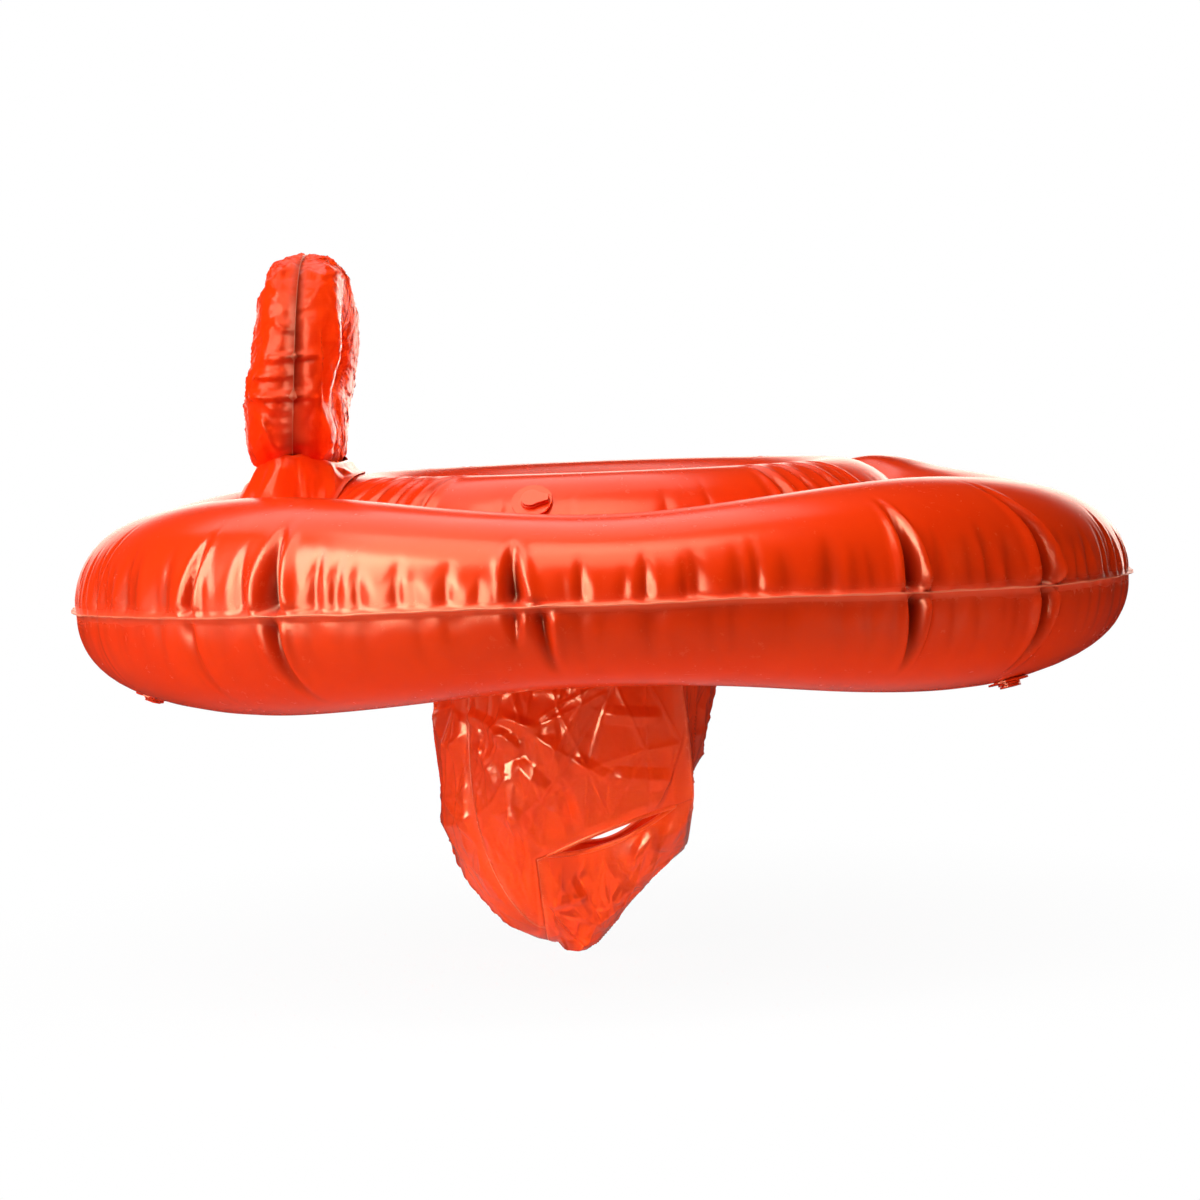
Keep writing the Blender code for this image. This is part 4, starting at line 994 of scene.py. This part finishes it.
def ring_height(x, y):
    """Height of the rings' smooth top film under a place seen from above."""
    angle = np.arctan2(y, x)
    radius = np.hypot(x, y)
    heights = np.full_like(radius, MIDDLE_HEIGHT)
    turns = np.linspace(0.0, 1.0, 60)
    for index in range(len(radius)):
        spread = np.full(60, angle[index])
        ones = np.ones(60)
        film = outer_film if radius[index] > middle_weld_radius(angle[index]) else inner_film
        radii, tops = film(spread, turns, ones)
        heights[index] = np.interp(-radius[index], -radii, tops)
    return heights


def pillow_foot(across):
    """Height of the pillow's lower edge at a place across its width."""
    middle = (PILLOW_TOP + PILLOW_FOOT) / 2.0
    share = np.minimum(np.abs(across) / PILLOW_HALF_WIDTH, 1.0)
    square = PILLOW_SQUARENESS[1]
    return middle - (middle - PILLOW_FOOT) * (1.0 - share**square) ** (1.0 / square)


def skirt():
    film, column, row = lay_film("backrest_skirt_film", SKIRT_COLUMNS, SKIRT_ROWS)
    around = 2.0 * np.pi * np.arange(SKIRT_COLUMNS) / SKIRT_COLUMNS
    wide = np.sign(np.cos(around)) * np.abs(np.cos(around)) ** SKIRT_SQUARING
    long = np.sign(np.sin(around)) * np.abs(np.sin(around)) ** SKIRT_SQUARING
    top_y = SKIRT_MOUTH[1] * long
    top_x = bow_x(top_y, pillow_foot(top_y)) + SKIRT_MOUTH[0] * wide
    top_z = pillow_foot(top_y) + SKIRT_OVERLAP + SKIRT_TUCK * np.abs(wide)
    foot_y = SKIRT_HEM[1] * long
    foot_x = bow_x(foot_y, PILLOW_FOOT) - SKIRT_SHIFT + SKIRT_HEM[0] * wide
    foot_z = np.maximum(ring_height(foot_x, foot_y), SKIRT_LOWEST) + SKIRT_CLEARANCE
    top = np.stack([top_x, top_y, top_z], axis=1)
    foot = np.stack([foot_x, foot_y, foot_z], axis=1)
    up = row / SKIRT_ROWS
    drawn = np.stack([up**SKIRT_FLARE, up**SKIRT_FLARE, up], axis=1)
    pick = column % SKIRT_COLUMNS
    write_points(film, foot[pick] * (1.0 - drawn) + top[pick] * drawn)
    inside = smooth(np.minimum(row, SKIRT_ROWS - row) / SKIRT_ROWS / 0.25)
    along, down = column / SKIRT_COLUMNS * SKIRT_ROUND, row / SKIRT_ROWS * 0.03
    lift = facets(along, down, 61, 0.014, 1.6, 0.2, SKIRT_ROUND)
    mark(film, "lift", 0.0022 * lift * inside)
    mark(film, "weld", np.exp(-row / SKIRT_ROWS / 0.1))
    close_film(film, False)
    points, normals = read_points(film), normals_of(film)
    write_points(film, points + normals * read_mark(film, "lift")[:, None])
    give_thickness(film, PANEL_FILM)
    return film


skirt_film = skirt()
print("skirt", len(skirt_film.data.polygons), "faces,",
      round(sum(face.area for face in skirt_film.data.polygons) * 5e3), "square centimetres")

# %% [markdown]
# A material is wired as sums. One small class holds an output socket and turns the usual signs
# into Math nodes; any other node is made by one method of the material's bench.

# %% Wire materials


class Wire:
    """One output socket, on which sums can be written."""

    def __init__(self, bench, socket):
        self.bench = bench
        self.socket = socket

    def sum(self, operation, first, second):
        return self.bench.node("Math", {"operation": operation}, {0: first, 1: second})

    def __add__(self, other):
        return self.sum("ADD", self, other)

    def __radd__(self, other):
        return self.sum("ADD", other, self)

    def __mul__(self, other):
        return self.sum("MULTIPLY", self, other)

    def __rmul__(self, other):
        return self.sum("MULTIPLY", other, self)


class Bench:
    """A material, world or lamp whose nodes are being wired."""

    def __init__(self, tree):
        self.tree = tree
        self.tree.nodes.clear()

    def node(self, kind, settings, values, out=0):
        """Add a node, set it, connect or set its sockets, and return its output, if it has one."""
        made = self.tree.nodes.new("ShaderNode" + kind)
        for name, value in settings.items():
            if name == "stops":
                for stop, (place, colour) in zip(made.color_ramp.elements, value):
                    stop.position, stop.color = place, (*colour, 1.0)
            else:
                setattr(made, name, value)
        for name, value in values.items():
            if isinstance(value, Wire):
                self.tree.links.new(value.socket, made.inputs[name])
            else:
                made.inputs[name].default_value = value
        return Wire(self, made.outputs[out]) if made.outputs else None

    def mix(self, share, first, second):
        """Blend two colours."""
        first, second = ((*c, 1.0) if isinstance(c, tuple) else c for c in (first, second))
        return self.node("Mix", {"data_type": "RGBA"}, {0: share, 6: first, 7: second}, 2)

    def range(self, value, low, high, new_low, new_high):
        """Map a number from one range to another and stop at its ends."""
        names = ("Value", "From Min", "From Max", "To Min", "To Max")
        return self.node("MapRange", {"clamp": True}, dict(zip(names, (value, low, high, new_low, new_high))))


# %% [markdown]
# All the film is one kind of vinyl, and the sling's copy of it is paler, as painted light. Its tone drifts
# in broad clouds, it carries a painted highlight on the welded strips and painted shade inside a deep fold,
# and fine flecks, grain and scuffs break up its gloss.

# %% Mix the vinyls
# Colours: a painted highlight for the welds, painted shade for deep folds, the paler tone of real scuffs, and
# the tint of reflections.
WELD_HIGHLIGHT = (1.0, 0.30, 0.16)
FOLD_SHADE = (0.09, 0.002, 0.0003)
WORN_PALE = (1.0, 0.62, 0.46)
SHINE_TINT = (1.0, 0.72, 0.43, 1.0)


def vinyl(name, colour, deep, gloss, welded, shine=0.4):
    """Glossy stretched film: cloudy gloss, a duller weld with a painted highlight, painted shade in deep
    folds, faint scuffs and grain.
    """
    material = bpy.data.materials.new(name)
    material.use_nodes = True
    bench = Bench(material.node_tree)
    place = bench.node("TexCoord", {}, {}, "Object")
    clouds = bench.node("TexNoise", {}, {"Vector": place, "Scale": 14.0, "Detail": 3.0, "Roughness": 0.6})
    flecks = bench.node("TexNoise", {}, {"Vector": place, "Scale": 160.0, "Detail": 4.0, "Roughness": 0.7})
    grain = bench.node("TexNoise", {}, {"Vector": place, "Scale": 900.0, "Detail": 2.0})
    stretched = bench.node("Mapping", {}, {"Vector": place, "Scale": (6.0, 40.0, 260.0)})
    scuffs = bench.node("TexNoise", {}, {"Vector": stretched, "Scale": 5.0, "Detail": 5.0, "Roughness": 0.75})
    worn = bench.range(scuffs, 0.62, 0.72, 0.0, 1.0)
    tone = bench.mix(bench.range(clouds, 0.35, 0.7, 0.0, 1.0), colour, deep)
    pale = tuple(0.75 * c + 0.25 * p for c, p in zip(colour, WORN_PALE))
    if welded:
        weld = bench.node("Attribute", {"attribute_name": "weld"}, {}, "Fac")
        strip = bench.node("Attribute", {"attribute_name": "strip"}, {}, "Fac")
        fold_shade = bench.node("Attribute", {"attribute_name": "fold_shade"}, {}, "Fac")
        # Painted highlight: the weld strips, and faintly the film beside the welds, are paler.
        tone = bench.mix(weld * 0.15 + strip * 0.5, tone, WELD_HIGHLIGHT)
        # Painted shade: the colour goes nearly black in deep folds and along the pillow's welds.
        tone = bench.mix(fold_shade * 0.95, tone, FOLD_SHADE)
    tone = bench.mix(worn * 0.02, tone, pale)
    rough = gloss + 0.07 * bench.range(clouds, 0.3, 0.75, 0.0, 1.0) + worn * 0.06
    rough = rough + bench.range(flecks, 0.55, 0.8, 0.0, 0.08)
    if welded:
        rough = rough + weld * 0.10
    bump = bench.node("Bump", {}, {"Height": grain, "Strength": 0.05, "Distance": 0.0003})
    bump = bench.node("Bump", {}, {"Height": flecks, "Strength": 0.06, "Distance": 0.0005, "Normal": bump})
    shader = bench.node("BsdfPrincipled", {}, {
        "Base Color": tone, "Roughness": rough, "Normal": bump, "IOR": 1.53,
        "Specular Tint": SHINE_TINT, "Specular IOR Level": shine,
    })
    bench.node("OutputMaterial", {}, {"Surface": shader})
    return material


ORANGE = (0.93, 0.043, 0.0022)
ORANGE_DEEP = (0.88, 0.035, 0.0015)
# A paler copy of the orange for the sling's panels: painted light.
SLING_PAINTED_LIGHT = (0.93, 0.058, 0.0060)
SLING_PAINTED_LIGHT_DEEP = (0.90, 0.048, 0.0040)
orange_vinyl = vinyl("orange_vinyl", ORANGE, ORANGE_DEEP, 0.20, True, 0.3)
pillow_vinyl = vinyl("pillow_vinyl", ORANGE, ORANGE_DEEP, 0.13, True, 0.07)
crumpled_vinyl = vinyl("crumpled_vinyl", SLING_PAINTED_LIGHT, SLING_PAINTED_LIGHT_DEEP, 0.17, True, 0.75)
deep_vinyl = vinyl("deep_orange_vinyl", SLING_PAINTED_LIGHT, SLING_PAINTED_LIGHT_DEEP, 0.17, True, 0.75)
weld_vinyl = vinyl("welded_orange_vinyl", (0.90, 0.075, 0.015), (0.86, 0.060, 0.010), 0.32, False)
moulded_vinyl = vinyl("moulded_red_vinyl", (0.86, 0.040, 0.004), (0.80, 0.032, 0.003), 0.30, False)
clear_film = vinyl("clear_film", (0.80, 0.42, 0.30), (0.75, 0.36, 0.25), 0.22, False)
print(len(bpy.data.materials), "materials")


def dress(piece, material):
    piece.data.materials.clear()
    piece.data.materials.append(material)


# %% [markdown]
# The rings, the pillow, the crotch panel and the hems each ride on the body of the node that they stand for,
# and that node is hidden. The other panels and the skirt stay where they were built, and their nodes are
# hidden too.

# %% Dress the pieces and hang most on their bodies
dress(outer, orange_vinyl)
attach(outer, "float")
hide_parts("outer_ring_top", "outer_ring_belly")
dress(inner, orange_vinyl)
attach(inner, "float")
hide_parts("inner_ring_top", "inner_ring_belly")
dress(backrest, pillow_vinyl)
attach(backrest, "backrest")
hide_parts("backrest_front", "backrest_rear")

PANEL_NODES = {
    "sling_right": ("sling_right_panel", (0.16, 0.18)),
    "sling_left": ("sling_left_panel", (0.16, 0.18)),
    "sling_front": ("sling_front_panel", (0.19, 0.17)),
    "sling_rear": ("sling_rear_panel", (0.12, 0.24)),
    "sling_crotch": ("sling_crotch_panel", (0.15, 0.13)),
}
for name, (node, flat) in PANEL_NODES.items():
    film = panels[name]
    dress(film, deep_vinyl if name == "sling_crotch" else crumpled_vinyl)
    if name == "sling_crotch":
        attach(film, "bucket")
    else:
        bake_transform(film)
    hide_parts(node)
for hem, node in ((hem_left, "leg_hem_left"), (hem_right, "leg_hem_right")):
    dress(hem, weld_vinyl)
    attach(hem, "bucket")
    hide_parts(node)
dress(skirt_film, pillow_vinyl)
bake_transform(skirt_film)
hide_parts("backrest_skirt")

SLOTS = {row["node"]: row["material_slot"] for row in frame["record"]["subparts"]}
NODE_MATERIALS = {
    "moulded_red_vinyl": moulded_vinyl, "welded_orange_vinyl": weld_vinyl,
    "clear_film": clear_film, "orange_vinyl": orange_vinyl, "deep_orange_vinyl": deep_vinyl,
}
for name, node in frame["nodes"].items():
    if not node.hide_render:
        dress(node, orange_vinyl if name.endswith("_seat") else NODE_MATERIALS[SLOTS[name]])

# %% [markdown]
# The studio is plain. The table top and the background are white to the camera. The film sees
# them otherwise: a table that is pale under the seat and dark in front of it, a bright stretch
# of wall behind the seat, and near darkness elsewhere. So the film's lower flanks keep their
# full colour, and the ring's right end falls into shade.

# %% Build the studio
FLOOR_HEIGHT = CROTCH_BOTTOM - 0.0012
BLACK = (0.0, 0.0, 0.0)
WHITE = (1.0, 1.0, 1.0)
WALL_STRENGTH = 3.8


def studio_floor():
    bpy.ops.object.select_all(action="DESELECT")
    bpy.ops.mesh.primitive_plane_add(size=7.0, location=(0.0, 0.0, FLOOR_HEIGHT))
    floor = bpy.context.object
    floor.name = "studio_floor"
    material = bpy.data.materials.new("studio_floor")
    material.use_nodes = True
    bench = Bench(material.node_tree)
    rays = bench.node("LightPath", {}, {}, "Is Camera Ray")
    place = bench.node("TexCoord", {}, {}, "Object")
    y = bench.node("SeparateXYZ", {}, {0: place}, "Y")
    away = bench.node("VectorMath", {"operation": "LENGTH"}, {0: place}, "Value")
    shaded = bench.range(away, 0.10, 0.50, 0.05, 0.0)
    table = bench.range(y, -1.1, -0.55, 0.05, 0.72)
    matt = bench.node("BsdfDiffuse", {}, {"Color": bench.mix(table, BLACK, WHITE)})
    white = bench.node("Emission", {}, {"Color": (*WHITE, 1.0), "Strength": 1.0})
    dull = bench.node("BsdfDiffuse", {}, {"Color": bench.mix(table * 0.10, BLACK, WHITE)})
    mirrored = bench.node("LightPath", {}, {}, "Is Glossy Ray")
    glow = bench.range(away, 0.18, 0.42, 0.30, 0.0)
    bright = bench.node("MixShader", {}, {0: glow, 1: dull, 2: white})
    seen = bench.node("MixShader", {}, {0: shaded, 1: white, 2: matt})
    unseen = bench.node("MixShader", {}, {0: mirrored, 1: matt, 2: bright})
    both = bench.node("MixShader", {}, {0: rays, 1: unseen, 2: seen})
    bench.node("OutputMaterial", {}, {"Surface": both})
    dress(floor, material)


def studio_world():
    world = bpy.data.worlds.new("studio")
    world.use_nodes = True
    bpy.context.scene.world = world
    bench = Bench(world.node_tree)
    seen = bench.node("LightPath", {}, {}, "Is Camera Ray")
    way = bench.node("TexCoord", {}, {}, "Generated")
    x = bench.node("SeparateXYZ", {}, {0: way}, "X")
    y = bench.node("SeparateXYZ", {}, {0: way}, "Y")
    z = bench.node("SeparateXYZ", {}, {0: way}, "Z")
    wall = bench.range(y, 0.80, 0.92, 0.0, WALL_STRENGTH) * bench.range(z, 0.12, 0.32, 1.0, 0.0)
    wall = wall * bench.range(x, -0.45, -0.15, 0.2, 1.0) * bench.range(x, 0.40, 0.60, 1.0, 0.0)
    around = bench.range(x, -0.3, 0.5, 0.06, 0.02)
    dim = bench.node("Background", {}, {"Color": (1.0, 0.72, 0.62, 1.0), "Strength": wall + around})
    white = bench.node("Background", {}, {"Color": (*WHITE, 1.0), "Strength": 1.0})
    both = bench.node("MixShader", {}, {0: seen, 1: dim, 2: white})
    bench.node("OutputWorld", {}, {"Surface": both})


studio_floor()
studio_world()
print("floor at", round(FLOOR_HEIGHT, 4))

# %% [markdown]
# Each lamp does one of two jobs. The soft ones light the film and leave no reflection: three
# large ones at the upper left, in front and overhead, and smaller ones that lift the table, the
# belly, the sling and the pillow's front. The shiny ones only show as reflections in the film.

# %% Hang the lamps


def softbox(name, place, aim, size, watts, spread, soft):
    """An area lamp that either lights the film softly or shines in it."""
    lamp = bpy.data.lights.new(name, "AREA")
    lamp.shape = "RECTANGLE"
    lamp.size, lamp.size_y = size
    lamp.energy = watts
    lamp.spread = math.radians(spread)
    box = bpy.data.objects.new(name, lamp)
    bpy.context.scene.collection.objects.link(box)
    box.location = place
    box.rotation_euler = (Vector(aim) - Vector(place)).to_track_quat("-Z", "Y").to_euler()
    box.visible_diffuse = soft
    box.visible_glossy = not soft
    box.visible_camera = False


# Each lamp: its name, place and aim, width and height, watts, and the spread of its beam.
SOFT_LAMPS = [
    ("left_key", (-1.75, -0.85, 1.25), (-0.05, 0.0, 0.0), (1.2, 1.0), 24.0, 180.0),
    ("front_top", (-0.25, -1.05, 1.50), (0.0, 0.0, 0.0), (1.2, 0.8), 12.0, 180.0),
    ("overhead", (-0.2, 0.0, 1.4), (-0.1, 0.0, 0.0), (1.6, 1.2), 8.0, 180.0),
    ("table_lamp", (0.12, -0.52, 0.9), (0.12, -0.45, -0.2), (1.3, 0.2), 1.6, 35.0),
    ("low_side", (-1.85, -0.45, -0.10), (-0.05, -0.03, -0.12), (0.8, 0.4), 11.0, 180.0),
    ("low_beam", (-0.35, -1.50, -0.22), (0.0, -0.06, -0.22), (0.5, 0.05), 0.50, 12.0),
    ("low_right", (0.55, -0.45, -0.24), (0.32, -0.10, -0.02), (0.4, 0.2), 0.8, 180.0),
    ("pillow_lamp", (1.7, -0.5, 0.6), (-0.17, 0.0, 0.15), (0.3, 0.3), 0.22, 9.0),
]
SHINY_LAMPS = [
    ("left_shine", (-1.45, -1.00, 1.00), (-0.1, -0.1, 0.0), (1.3, 1.4), 135.0, 180.0),
    ("top_shine", (-0.35, -0.70, 1.40), (-0.1, 0.0, 0.0), (1.4, 1.2), 40.0, 180.0),
    ("low_shine", (-1.10, -1.45, 0.16), (0.0, -0.06, -0.12), (1.3, 0.7), 60.0, 180.0),
    ("back_shine", (-0.35, 0.55, 1.4), (-0.1, 0.0, 0.0), (1.5, 1.3), 12.0, 180.0),
]
for lamp in SOFT_LAMPS:
    softbox(*lamp, True)
for lamp in SHINY_LAMPS:
    softbox(*lamp, False)
print(len(SOFT_LAMPS), "soft lamps,", len(SHINY_LAMPS), "shiny ones")
